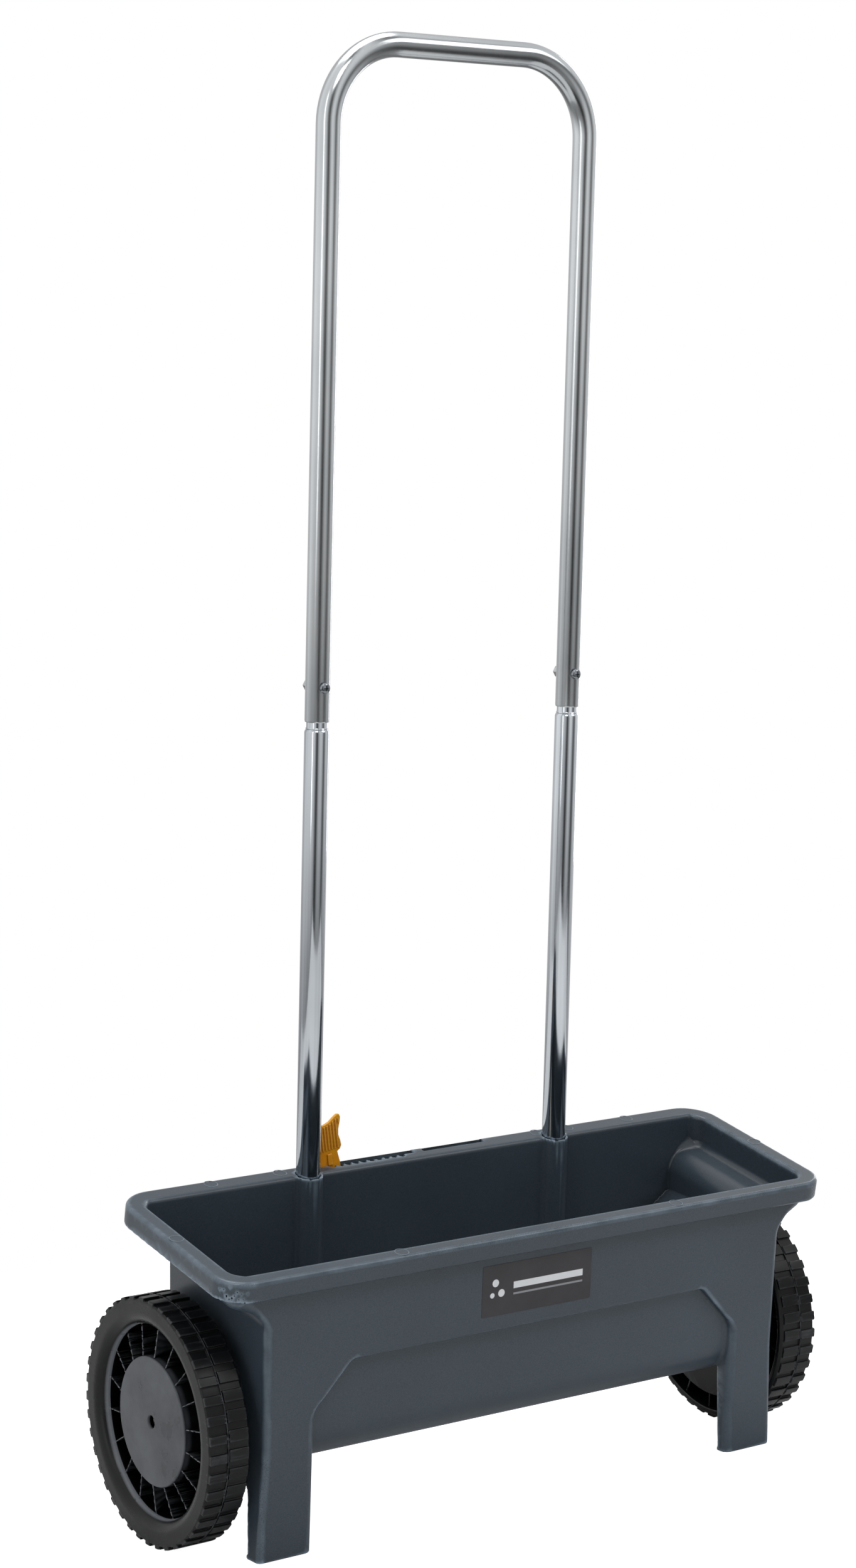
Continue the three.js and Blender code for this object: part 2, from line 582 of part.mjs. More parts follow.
// ---------------------------------------------------------------- assembly
const pieces = [
  ['hopper', hopper(), SLATE],
  ['front_label', label(), LABEL_INK],
  ['handle_upper', handleUpper(), STEEL],
  ['axle', axle(), STEEL],
  ['agitator', agitator(), NYLON],
  ['dosing_lever', lever(), AMBER],
  ['lever_screw', leverScrew(), ZINC],
  ['lever_washer', leverWasher(), ZINC],
  ['shutter_plate', shutter(), ZINC],
  ['shutter_pin', shutterPin(), ZINC],
  ['shutter_guide_front', guide(GUIDES.front), BLACK],
  ['shutter_guide_rear_left', guide(GUIDES.rearLeft), BLACK],
  ['shutter_guide_rear_right', guide(GUIDES.rearRight), BLACK],
  ...guideScrewSpots().map((spot, i) => [`guide_screw_${i + 1}`, guideScrew(spot), ZINC]),
  ['drive_pin', drivePin(), ZINC],
  ['wheel_left', mirrored(wheel()), BLACK],
  ['wheel_right', cut(wheel(), crossHole()), BLACK],
];
for (const [name, make, mat] of [
  ['handle_lower', handleLower, STEEL], ['handle_bolt', handleBolt, ZINC],
  ['handle_nut', handleNut, ZINC], ['socket_screw', socketScrew, ZINC],
  ['axle_bush', axleBush, NYLON], ['axle_seal', axleSeal, BLACK], ['axle_spacer', axleSpacer, NYLON],
  ['wheel_washer', wheelWasher, ZINC],
  ['wheel_screw', wheelScrew, ZINC],
]) {
  pieces.push([`${name}_left`, mirrored(make()), mat], [`${name}_right`, make(), mat]);
}

const spreader = new THREE.Group();
spreader.name = 'drop_spreader';
const park = new THREE.Matrix4().makeRotationX(LEAN).setPosition(0, 0, WHEEL_R);
for (const [name, body, mat] of pieces) {
  const geometry = toGeometry(body).applyMatrix4(park);
  geometry.computeVertexNormals();
  const mesh = new THREE.Mesh(geometry, mat);
  mesh.name = name;
  spreader.add(mesh);
}

// The frame's origin is the middle of the footprint, on the ground.
const extent = new THREE.Box3().setFromObject(spreader);
const middle = extent.getCenter(new THREE.Vector3());
for (const mesh of spreader.children) mesh.geometry.translate(-middle.x, -middle.y, -extent.min.z);

export default spreader;
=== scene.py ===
"""Looks of the garden drop spreader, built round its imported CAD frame.

Lengths are millimetres in the chassis frame (origin in the middle of the axle, X right, Y back,
Z up) until park() leans them forward and puts them in the row frame, in metres. The moulded
pieces are distance fields, negative inside, turned into meshes by field_mesh().
"""
import math

import bmesh
import bpy
import numpy as np
from mathutils import Matrix, Vector


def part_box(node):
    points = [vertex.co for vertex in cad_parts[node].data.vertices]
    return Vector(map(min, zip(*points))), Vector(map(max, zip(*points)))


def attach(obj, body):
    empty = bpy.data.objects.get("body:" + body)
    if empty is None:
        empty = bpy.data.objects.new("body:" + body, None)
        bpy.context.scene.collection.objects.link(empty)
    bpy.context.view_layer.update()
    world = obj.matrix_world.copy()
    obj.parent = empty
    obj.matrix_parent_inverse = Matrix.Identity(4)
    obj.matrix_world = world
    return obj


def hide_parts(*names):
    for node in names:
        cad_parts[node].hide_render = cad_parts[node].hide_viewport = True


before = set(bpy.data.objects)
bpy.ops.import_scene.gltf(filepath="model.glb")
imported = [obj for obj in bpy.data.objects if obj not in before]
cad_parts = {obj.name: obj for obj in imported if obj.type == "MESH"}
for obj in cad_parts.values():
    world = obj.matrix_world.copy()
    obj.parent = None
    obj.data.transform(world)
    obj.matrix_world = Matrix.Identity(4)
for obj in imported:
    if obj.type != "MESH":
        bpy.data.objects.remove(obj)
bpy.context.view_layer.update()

# ---------------------------------------------------------------- driving dimensions
LEAN = math.radians(4.3)
AXLE_LOW, AXLE_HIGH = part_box("axle")
AXLE_AT = (AXLE_LOW + AXLE_HIGH) / 2 * 1000
WHEEL_R = 100.0

WALL, FACE_WALL = 3.0, 4.0
RIM_SLOPE = math.radians(8.43)
RIM_Y, RIM_Z = -113.9, 141.2
RIM_HALF, RIM_DEPTH = 301.0, 182.6
RIM_R_FRONT, RIM_R_BACK = 24.0, 30.0
SKIRT, SKIRT_WALL = 16.8, 1.9
BASIN_HALF = 288.0
BASIN_DEPTH = (29.0, 36.0)
END_HALF, END_DRAFT, LEG_FLARE = 256.65, 0.0174, 0.038
FRONT_Y, FRONT_DRAFT = -99.6, 0.0156
BACK_Y = 51.0
FUNNEL = ((200.0, 56.0), (256.5, 96.0))
WINDOW_TOP, WINDOW_IN, WINDOW_OUT, WINDOW_LOW = 60.0, 177.0, 210.3, 24.0
TROUGH_HALF, TROUGH_FRONT, TROUGH_Z, TROUGH_R, TROUGH_CORNER = 200.0, -93.3, -27.0, 38.0, 10.0
LEG_SHELF = -34.0
LOBE_R = 34.0
SOLE = 4.0

TUBE_X, TUBE_Y, TUBE_R, TUBE_BORE = 126.5, 50.0, 10.1, 8.9
SOCKET_R, SOCKET_BORE, SOCKET_FLOOR = 12.45, 10.4, 66.0
SOCKET_SCREW_Z = 120.0
SLEEVE_Z, SWAGE_Z, SPIGOT_Z = 542.4, 534.7, 600.0
SWAGE_R = 8.6
BOLT_Z = 570.8
HANDLE_TOP, BEND_R = 1081.4, 65.0

LEVER_X, LEVER_Z, LEVER_FRONT, LEVER_BACK = -80.7, 20.0, 61.6, 64.4
LEVER_LEAN = math.radians(8.0)
PIN_DROP = 50.0
SLOT_FRONT, SLOT_BACK, SLOT_LEFT, TIE_LEFT, TIE_RIGHT, SLOT_RIGHT = 175.8, 180.7, -118.5, -13.7, -4.0, 59.0
NOTCH_COUNT, NOTCH_FIRST, NOTCH_PITCH = 10, -97.0, 7.7
OUTLET_COUNT, OUTLET_PITCH, OUTLET_HALF = 10, 38.0, (5.0, 3.0)

# ---------------------------------------------------------------- frames
SIN, COS = math.sin(LEAN), math.cos(LEAN)


def park(points):
    """Chassis millimetres to row-frame metres."""
    p = np.asarray(points, float)
    out = np.empty_like(p)
    out[:, 0] = p[:, 0] + AXLE_AT.x
    out[:, 1] = p[:, 1] * COS - p[:, 2] * SIN + AXLE_AT.y
    out[:, 2] = p[:, 1] * SIN + p[:, 2] * COS + AXLE_AT.z
    return out / 1000


def park_directions(directions):
    d = np.asarray(directions, float)
    return np.stack([d[:, 0], d[:, 1] * COS - d[:, 2] * SIN, d[:, 1] * SIN + d[:, 2] * COS], 1)


def rim_axes(y, z):
    """Distance behind the rim's front edge along its slope, and height above the rim's top."""
    dy, dz = y - RIM_Y, z - RIM_Z
    c, s = math.cos(RIM_SLOPE), math.sin(RIM_SLOPE)
    return dy * c + dz * s, dz * c - dy * s


def on_rim(x, u, n=0.0):
    c, s = math.cos(RIM_SLOPE), math.sin(RIM_SLOPE)
    return (x, RIM_Y + u * c - n * s, RIM_Z + u * s + n * c)


def above_ground(y, z):
    return z * COS + y * SIN + WHEEL_R


# ---------------------------------------------------------------- distance fields
def fillet(a, b, r):
    """Union of two fields with a fillet of radius r where they meet square."""
    return np.maximum(r, np.minimum(a, b)) - np.hypot(np.maximum(r - a, 0), np.maximum(r - b, 0))


def common(a, b, r):
    """Intersection of two fields with its edge rounded to radius r."""
    return np.minimum(-r, np.maximum(a, b)) + np.hypot(np.maximum(r + a, 0), np.maximum(r + b, 0))


def slab(v, low, high):
    return np.abs(v - (low + high) / 2) - (high - low) / 2


def rounded_rect(x, y, half_x, half_y, r):
    qx, qy = np.abs(x) - half_x + r, np.abs(y) - half_y + r
    return np.hypot(np.maximum(qx, 0), np.maximum(qy, 0)) + np.minimum(np.maximum(qx, qy), 0) - r


def polygon(x, y, points):
    """Signed distance to a closed outline."""
    nearest = np.full(np.shape(x), 1e12)
    inside = np.zeros(np.shape(x), bool)
    for (x0, y0), (x1, y1) in zip(points, points[1:] + points[:1]):
        ex, ey = x1 - x0, y1 - y0
        wx, wy = x - x0, y - y0
        t = np.clip((wx * ex + wy * ey) / (ex * ex + ey * ey), 0, 1)
        nearest = np.minimum(nearest, (wx - ex * t) ** 2 + (wy - ey * t) ** 2)
        above, below, left = y >= y0, y < y1, ex * wy > ey * wx
        inside ^= (above & below & left) | ~(above | below | left)
    return np.where(inside, -1, 1) * np.sqrt(nearest)


def arc(cx, cy, r, start, stop, steps=8):
    angles = np.radians(np.linspace(start, stop, steps + 1))
    return [(cx + r * math.cos(a), cy + r * math.sin(a)) for a in angles]


# ---------------------------------------------------------------- meshes from fields
BLOCK = 6
CHUNK = 400_000


def sample(field, low, high, pitch):
    """The field on a grid; blocks that the surface can't reach keep their middle's sign."""
    axes = [np.arange(a, b + pitch * BLOCK, pitch, dtype=np.float32) for a, b in zip(low, high)]
    axes = [a[: len(a) // BLOCK * BLOCK] for a in axes]
    middles = [a.reshape(-1, BLOCK).mean(1) for a in axes]
    coarse = field(*[m.ravel() for m in np.meshgrid(*middles, indexing="ij")])
    coarse = coarse.astype(np.float32).reshape([len(m) for m in middles])
    near = np.abs(coarse) < pitch * BLOCK * 1.15
    values = coarse
    for axis in range(3):
        values = np.repeat(values, BLOCK, axis)
        near = np.repeat(near, BLOCK, axis)
    spots = np.flatnonzero(near)
    flat = values.reshape(-1)
    for start in range(0, len(spots), CHUNK):
        part = spots[start:start + CHUNK]
        i, j, k = np.unravel_index(part, values.shape)
        flat[part] = field(axes[0][i], axes[1][j], axes[2][k])
    return flat.reshape(values.shape), [a[0] for a in axes]


def surface_net(values):
    """Vertices, in grid steps, and quads of the zero surface."""
    inside = values < 0
    size = tuple(s - 1 for s in values.shape)
    corners = [(i, j, k) for i in (0, 1) for j in (0, 1) for k in (0, 1)]

    def shifted(array, offset):
        return array[tuple(slice(o, o + s) for o, s in zip(offset, size))]

    count = sum(shifted(inside, c).astype(np.uint8) for c in corners)
    active = (count > 0) & (count < 8)
    cells = np.argwhere(active)
    index = np.full(size, -1, np.int32)
    index[active] = np.arange(len(cells))
    total, hits = np.zeros((len(cells), 3)), np.zeros(len(cells))
    at = {c: values[tuple((cells + c).T)] for c in corners}
    for a in corners:
        for axis in range(3):
            if a[axis]:
                continue
            b = tuple(1 if i == axis else a[i] for i in range(3))
            cross = (at[a] < 0) != (at[b] < 0)
            t = np.where(cross, at[a] / np.where(cross, at[a] - at[b], 1), 0)
            point = np.array(a, float) + t[:, None] * (np.array(b) - np.array(a))
            total += point * cross[:, None]
            hits += cross
    vertices = cells + total / hits[:, None]
    quads = []
    for axis in range(3):
        b, c = np.eye(3, dtype=int)[(axis + 1) % 3], np.eye(3, dtype=int)[(axis + 2) % 3]
        first = tuple(slice(0 if i == axis else 1, s) for i, s in enumerate(size))
        second = tuple(slice(1 if i == axis else 1, s + (i == axis)) for i, s in enumerate(size))
        edge = inside[first] != inside[second]
        p = np.argwhere(edge) + np.array([0 if i == axis else 1 for i in range(3)])
        ring = [index[tuple((p - o).T)] for o in (0 * b, b, b + c, c)]
        quad = np.stack(ring, 1)
        outward = inside[tuple(p.T)]
        quads.append(np.where(outward[:, None], quad, quad[:, ::-1]))
    return vertices, np.concatenate(quads)


def slope_of(field, p, h=0.02):
    out = np.empty_like(p)
    for axis in range(3):
        step = np.zeros(3)
        step[axis] = h
        out[:, axis] = (field(*(p + step).T) - field(*(p - step).T)) / (2 * h)
    return out


def settle(field, p, rounds, reach):
    """Moves points onto the zero surface, each at most reach, and gives the normals there."""
    for _ in range(rounds):
        g = slope_of(field, p)
        steepness = np.maximum((g * g).sum(1), 0.05)
        move = -(field(*p.T) / steepness)[:, None] * g
        length = np.maximum(np.linalg.norm(move, axis=1, keepdims=True), 1e-9)
        p = p + move * np.minimum(1, reach / length)
    g = slope_of(field, p)
    return p, g / np.maximum(np.linalg.norm(g, axis=1, keepdims=True), 1e-9)


def link(name, mesh):
    obj = bpy.data.objects.new(name, mesh)
    bpy.context.scene.collection.objects.link(obj)
    return obj


def new_mesh(name, vertices, faces):
    """Faces are an array of triangles or of quads."""
    mesh = bpy.data.meshes.new(name)
    sides = faces.shape[1]
    mesh.vertices.add(len(vertices))
    mesh.vertices.foreach_set("co", np.asarray(vertices, np.float32).ravel())
    mesh.loops.add(faces.size)
    mesh.loops.foreach_set("vertex_index", faces.astype(np.int32).ravel())
    mesh.polygons.add(len(faces))
    mesh.polygons.foreach_set("loop_start", np.arange(0, faces.size, sides, dtype=np.int32))
    mesh.polygons.foreach_set("use_smooth", np.ones(len(faces), bool))
    mesh.update(calc_edges=True)
    return mesh


def thinned(mesh, ratio):
    """A copy of the mesh with fewer triangles, most of them taken from flat places."""
    obj = link("thinning", mesh)
    decimate = obj.modifiers.new("decimate", "DECIMATE")
    decimate.ratio = ratio
    decimate.use_collapse_triangulate = True
    bpy.context.view_layer.update()
    done = bpy.data.meshes.new_from_object(obj.evaluated_get(bpy.context.evaluated_depsgraph_get()))
    bpy.data.objects.remove(obj)
    bpy.data.meshes.remove(mesh)
    return done


def positions(mesh):
    co = np.empty(len(mesh.vertices) * 3, np.float32)
    mesh.vertices.foreach_get("co", co)
    return co.reshape(-1, 3).astype(float)


def field_mesh(name, field, low, high, pitch, ratio=0.25, place=park, turn=park_directions):
    """An object whose surface is the field's zero, with the field's own normals."""
    values, origin = sample(field, low, high, pitch)
    vertices, quads = surface_net(values)
    p, _ = settle(field, vertices * pitch + np.array(origin, float), 2, pitch)
    mesh = thinned(new_mesh(name, p, quads), ratio)
    p, normals = settle(field, positions(mesh), 2, pitch / 4)
    mesh.vertices.foreach_set("co", place(p).astype(np.float32).ravel())
    mesh.polygons.foreach_set("use_smooth", np.ones(len(mesh.polygons), bool))
    mesh.update()
    mesh.normals_split_custom_set_from_vertices(turn(normals).astype(np.float32))
    mesh.name = name
    return link(name, mesh)


# ---------------------------------------------------------------- hopper
def front_face(z):
    return FRONT_Y - z * FRONT_DRAFT


def window(ax, z):
    """The opening between the legs, in the front view."""
    run, rise = WINDOW_OUT - WINDOW_IN, WINDOW_TOP - WINDOW_LOW
    slanted = ((ax - WINDOW_IN) * rise + (z - WINDOW_TOP) * run) / math.hypot(run, rise)
    return common(common(z - WINDOW_TOP, slanted, 3), ax - WINDOW_OUT, 3)


def envelope(ax, y, z, n):
    """Outside of the box, end plates and legs, with the window cut right through."""
    side = ax - (END_HALF + np.maximum(z, 0) * END_DRAFT - np.minimum(z, 0) * LEG_FLARE)
    deep, deeper = BASIN_DEPTH
    floor = deep + (BASIN_HALF - ax) / (BASIN_HALF - END_HALF) * (deeper - deep)
    overhang = common(ax - BASIN_HALF, -(n + floor) * 0.97, 8)
    wide = fillet(side, overhang, 12)
    corner = 5 + 11 * np.clip((ax - 262) / 20, 0, 1)
    body = common(wide, np.maximum(front_face(z) - y, y - BACK_Y), corner)
    edge = 2.2 + 4.8 * np.clip((WINDOW_LOW + 8 - z) / 16, 0, 1)
    return common(body, -window(ax, z), edge)


def box_field(ax, y, z, n):
    """The box above its sloping end floors."""
    (x0, z0), (x1, z1) = FUNNEL
    run, rise = x1 - x0, z1 - z0
    under = ((ax - x0) * rise - (z - z0) * run) / math.hypot(run, rise)
    return common(envelope(ax, y, z, n), under, 2)


TROUGH_TOP = 68.0


def trough_section(y, z):
    half, middle = (BACK_Y - TROUGH_FRONT) / 2, (BACK_Y + TROUGH_FRONT) / 2
    height = (TROUGH_TOP - TROUGH_Z) / 2 + 30
    return rounded_rect(y - middle, z - (TROUGH_Z + height), half, height, TROUGH_R)


def trough_field(ax, y, z):
    reach = 112.0
    plan = rounded_rect(ax, y - TROUGH_FRONT - reach, TROUGH_HALF, reach, TROUGH_CORNER)
    return np.maximum(common(trough_section(y, z), plan, 5), z - TROUGH_TOP)


PLATE = ([(-130, 175), (-130, -125), (-84.5, -125), (-76.6, LEG_SHELF - 10)]
         + arc(-66.6, LEG_SHELF - 10, 10, 180, 90, 6)[1:]
         + arc(0, 0, LOBE_R, -90, 0, 8) + [(51.5, 40), (60, 60), (60, 175)])


def shell_field(ax, y, z, n):
    """Front wall, end plates and legs, and the returns round the window."""
    outside = envelope(ax, y, z, n)
    thickness = FACE_WALL - np.clip((ax - 244) / 6, 0, 1) * (FACE_WALL - WALL)
    shell = np.maximum(outside, -(outside + thickness))
    plate = np.maximum(polygon(y, z, PLATE), 250 - ax)
    depth = 11 + np.clip((z + 95) * 0.085, 0, 6)
    rear = np.where(z > WINDOW_LOW + 2, TROUGH_FRONT + WALL, front_face(z) + depth)
    returns = np.maximum(y - rear, z - FUNNEL[1][1] - 2)
    shell = common(shell, np.minimum(plate, returns), 0.9)
    section = common(trough_section(y, z), TROUGH_FRONT - y, 5)
    web = np.maximum(np.maximum(section, -section - 4), np.maximum(slab(ax, 188, WINDOW_OUT + 2), z - 64))
    shell = fillet(shell, common(web, y + 72, 1.5), 4)
    heel = front_face(z) + 12 + (ax - WINDOW_OUT) * 0.13
    sole = np.maximum(np.maximum(outside, y - heel), above_ground(y, z) - SOLE)
    return common(np.minimum(shell, sole), -above_ground(y, z), 1.2)


def flange_field(x, u, n):
    corner = np.where(u < RIM_DEPTH / 2, RIM_R_FRONT, RIM_R_BACK)
    plan = rounded_rect(x, u - RIM_DEPTH / 2, RIM_HALF, RIM_DEPTH / 2, corner)
    block = common(common(plan, n, 3.2), -SKIRT - n, 0.8)
    relief = common(plan + SKIRT_WALL, n + WALL, 1.5)
    return np.maximum(block, -relief)


def slot_field(x, u):
    s = slab(x, SLOT_LEFT, TIE_LEFT)
    run = np.maximum(s, slab(u, SLOT_FRONT, SLOT_BACK))
    spare = np.maximum(slab(x, TIE_RIGHT, SLOT_RIGHT), slab(u, SLOT_FRONT, SLOT_BACK))
    nearest = np.clip(np.round((x - NOTCH_FIRST) / NOTCH_PITCH), 0, NOTCH_COUNT - 1)
    valley = np.hypot((x - NOTCH_FIRST - nearest * NOTCH_PITCH) * 1.55, np.maximum(SLOT_FRONT - u, 0)) - 4.6
    valley = np.maximum(valley / 1.3, u - SLOT_BACK)
    return np.minimum(np.minimum(run, spare), valley)


def hopper_field(x, y, z):
    ax = np.abs(x)
    u, n = rim_axes(y, z)
    box = box_field(ax, y, z, n)
    trough = trough_field(ax, y, z)
    soft = 3.5 * np.clip(-y / 40, 0.003, 1)
    skin = fillet(np.maximum(box, n + 1), trough, soft)
    skin = fillet(skin, flange_field(x, u, n), 2.5)
    boss = np.maximum(np.hypot(y, z) - 17, slab(ax, 246, 258))
    skin = np.minimum(fillet(np.minimum(skin, shell_field(ax, y, z, n)), boss, 1.5),
                      np.maximum(np.hypot(x - LEVER_X, z - LEVER_Z) - 9, slab(y, 50, LEVER_FRONT - 0.3)))
    cavity = fillet(fillet(box + WALL, trough + WALL, soft), -n, 3.5)
    skin = np.maximum(skin, -cavity)
    tube = np.hypot(ax - TUBE_X, y - TUBE_Y)
    socket = np.maximum(np.maximum(tube - SOCKET_R, 60 - z), n)
    skin = fillet(skin, socket, 2.5)
    skin = common(skin, -np.maximum(tube - SOCKET_BORE, SOCKET_FLOOR - z), 0.6)
    skin = np.maximum(skin, n - 0.02)
    skin = np.maximum(skin, -np.maximum(slot_field(x, u), -n - 8))
    in_ends = np.maximum(np.hypot(y, z) - 9.3, 190 - ax)
    holes = np.minimum(in_ends, np.maximum(np.hypot(x - LEVER_X, z - LEVER_Z) - 2.6, 46 - y))
    outlet = np.abs(x / OUTLET_PITCH - np.floor(x / OUTLET_PITCH) - 0.5) * OUTLET_PITCH
    half_x, half_y = OUTLET_HALF
    outlets = np.maximum(rounded_rect(outlet, y, half_x, half_y, 1), z - TROUGH_Z - 8)
    outlets = np.maximum(outlets, ax - OUTLET_PITCH * OUTLET_COUNT / 2)
    return np.maximum(skin, -np.minimum(holes, outlets))


def make_hopper():
    low, high = (-305, -118, -103), (305, 70, 172)
    return field_mesh("hopper_moulding", hopper_field, low, high, 1.5, ratio=0.3)


def make_ejector_marks():
    """Fine raised rings that the moulding tool's ejector pins leave on the rim."""
    spots = [(s * 293.6, 92) for s in (-1, 1)] + [(s * x, 175.5) for s in (-1, 1) for x in (115, 148, 214)]
    spots += [(s * 138, 7.6) for s in (-1, 1)]
    turns, sides = 40, 8
    around, section = np.meshgrid(np.arange(turns), np.arange(sides), indexing="ij")
    a, b = around * 2 * np.pi / turns, section * 2 * np.pi / sides
    radius, bead = 5.6, 0.42
    ring = (around * sides + section).ravel()
    ahead = (((around + 1) % turns) * sides + section).ravel()
    both = (((around + 1) % turns) * sides + (section + 1) % sides).ravel()
    across = (around * sides + (section + 1) % sides).ravel()
    faces = np.stack([ring, ahead, both, across], 1)
    vertices, quads = [], []
    for x, u in spots:
        r = (radius + bead * np.cos(b)).ravel()
        dx, du = r * np.cos(a.ravel()), r * np.sin(a.ravel())
        vertices.append(np.stack(on_rim(x + dx, u + du, bead * 0.7 * np.sin(b.ravel())), 1))
        quads.append(faces + len(quads) * turns * sides)
    mesh = new_mesh("ejector_marks", park(np.concatenate(vertices)), np.concatenate(quads))
    return link("ejector_marks", mesh)


# ---------------------------------------------------------------- wheels
WHEEL_IN, WHEEL_OUT = 268.5, 307.0
LUGS, RIBS = 41, 18
SKIN = 0.7                      # rounding carried by the wheel's section
TYRE = ([(269.2, 92.7), (269.2, 95.5), (271, 97.3), (304.0, 97.3), (304.8, 96.5), (304.8, 87.5)]
        + arc(295.1, 87.5, 9.7, 0, -80, 8)[1:]
        + [(289, 77.2), (270.7, 76.7), (270.7, 78.3), (289, 79), (295.5, 79.6), (299.8, 82), (302.2, 86.5),
           (302.3, 92.7)])
HUB_R, DRUM_R = 52.0, 78.0
RIB_TOP, RIB_RUN, RIB_DROP = 299.3, 26, 3.5
RIB_SLOPE = 0.1346
SEAM_X = 289.3


def wheel_field(x, y, z):
    r, a = np.hypot(y, z), np.arctan2(z, y)

    def bar(x0, x1, r0, r1):
        return rounded_rect(x - (x0 + x1) / 2, r - (r0 + r1) / 2, (x1 - x0) / 2, (r1 - r0) / 2, 0.2)

    dished = x + 0.7 * (r / HUB_R) ** 2
    disc = rounded_rect(dished - 300, r - (5 + HUB_R) / 2, 1.3, (HUB_R - 5) / 2, 1.2)
    body = np.minimum(polygon(x, r, TYRE) - SKIN, bar(270, 273, 9, 78))
    hub = np.minimum(bar(270, 292, 5.3, 12), bar(271, 299, HUB_R - 3, HUB_R - 0.2))
    body = fillet(body, np.minimum(hub, disc), 0.8)
    rib = (a / (2 * np.pi) * RIBS % 1 - 0.5) * 2 * np.pi / RIBS * r
    crest = RIB_TOP - np.clip((r - HUB_R) / RIB_RUN, 0, 1) * RIB_DROP
    outer_rib = np.maximum(np.maximum(np.abs(rib) - 0.42, slab(r, HUB_R - 2, DRUM_R)), slab(x, 272, crest))
    inner_rib = np.maximum(np.maximum(np.abs(rib) - 0.9, slab(r, DRUM_R, 93)), slab(x, 273, 300))
    body = np.minimum(body, np.minimum(outer_rib, inner_rib))
    pitch = 2 * np.pi * WHEEL_R / LUGS

    def row(x0, x1, land, shift):
        s = ((a / (2 * np.pi) * LUGS + shift) % 1 - 0.5) * pitch
        return rounded_rect(s, x - (x0 + x1) / 2, land * pitch / 2, (x1 - x0) / 2, 0.5)

    rows = np.minimum(row(271.2, 288.2, 0.62, 0.1), row(290.4, 305.3, 0.5, 0))
    seam = slab(x, SEAM_X - 0.55, SEAM_X + 0.55)
    ring = seam + np.maximum(r - 99.3, 0)
    tread = np.maximum(common(np.minimum(rows, ring), r - WHEEL_R, 0.35), 95 - r)
    return fillet(body, tread, 0.4)


def make_wheel(name, side):
    reach = 102
    low, high = sorted((side * (WHEEL_IN - 2), side * (WHEEL_OUT + 2)))
    return field_mesh(name, lambda x, y, z: wheel_field(side * x, y, z),
                      (low, -reach, -reach), (high, reach, reach), 0.85, ratio=0.3)


# ---------------------------------------------------------------- dosing lever
PAD_LOW, PAD_HIGH = 160.5, 181.5
LEVER_SIDE = [(6, -60), (7, -18), (11, -6), (11, 6), (8, 18), (8, 112), (14, 138), (14, 148), (12.4, 157.2),
              (15.2, 158.6), (16.9, 161.5), (16.4, 166), (15.1, 171), (15.6, 176), (17.6, 182), (18.5, 186),
              (17.6, 188.6), (15.4, 189), (12, 187.2), (7, 184), (2, 182.6)]


def lever_field(x, y, z):
    c, s = math.cos(LEVER_LEAN), math.sin(LEVER_LEAN)
    a = (x - LEVER_X) * c + (z - LEVER_Z) * s
    h = (z - LEVER_Z) * c - (x - LEVER_X) * s
    outline = polygon(a, h, LEVER_SIDE + [(-p, q) for p, q in LEVER_SIDE[::-1]])
    plate = common(outline, slab(y, LEVER_FRONT, LEVER_BACK), 0.6)
    inside = np.maximum(outline + 1.6, slab(h, PAD_LOW, PAD_HIGH + 4))
    ridge = np.abs((a / 2.9) % 1 - 0.5) * 2.9 - 0.62
    ribs = common(np.maximum(ridge, inside), LEVER_FRONT - 0.9 - y, 0.3)
    ribs = np.maximum(ribs, y - LEVER_BACK + 1)
    nub = common(np.maximum(slab(a, 1.9, 6.1), slab(h, 147.4, 157)), slab(y, 60.3, 63), 0.4)
    body = fillet(fillet(plate, ribs, 0.3), nub, 0.4)
    eye = np.hypot(a, h) - 3
    fork = rounded_rect(a, h + PIN_DROP + 1.5, 3, 5, 2.9)
    return np.maximum(body, -np.minimum(eye, fork))


def make_lever():
    return field_mesh("dosing_lever_moulding", lever_field, (-130, 58, -45), (-62, 67, 215), 0.5, ratio=0.35)


# ---------------------------------------------------------------- turned and swept pieces
def revolved(name, profile, axis, at=(0, 0, 0), sides=56):
    """A closed (radius, height) outline turned about X, Y or Z through a chassis point."""
    count = len(profile)
    turn = np.arange(sides) * 2 * np.pi / sides
    r, h = np.array(profile, float).T
    local = np.stack([np.outer(np.cos(turn), r), np.outer(np.sin(turn), r), np.tile(h, (sides, 1))], 2)
    order = {"x": (2, 0, 1), "y": (1, 2, 0), "z": (0, 1, 2)}[axis]
    vertices = local.reshape(-1, 3)[:, order] + np.array(at, float)
    i, j = (g.ravel() for g in np.meshgrid(np.arange(sides), np.arange(count), indexing="ij"))
    ahead, above = (i + 1) % sides, (j + 1) % count
    quads = np.stack([i * count + j, ahead * count + j, ahead * count + above, i * count + above], 1)
    area = sum(r0 * h1 - r1 * h0 for (r0, h0), (r1, h1) in zip(profile, profile[1:] + profile[:1]))
    return sharpened(name, park(vertices), quads if area > 0 else quads[:, ::-1])


def sharpened(name, vertices, faces, angle=38):
    mesh = new_mesh(name, vertices, faces)
    bm = bmesh.new()
    bm.from_mesh(mesh)
    bmesh.ops.dissolve_degenerate(bm, dist=1e-7, edges=bm.edges)
    bmesh.ops.remove_doubles(bm, verts=bm.verts, dist=1e-7)
    bmesh.ops.recalc_face_normals(bm, faces=bm.faces)
    bm.to_mesh(mesh)
    bm.free()
    mesh.set_sharp_from_angle(angle=math.radians(angle))
    return link(name, mesh)


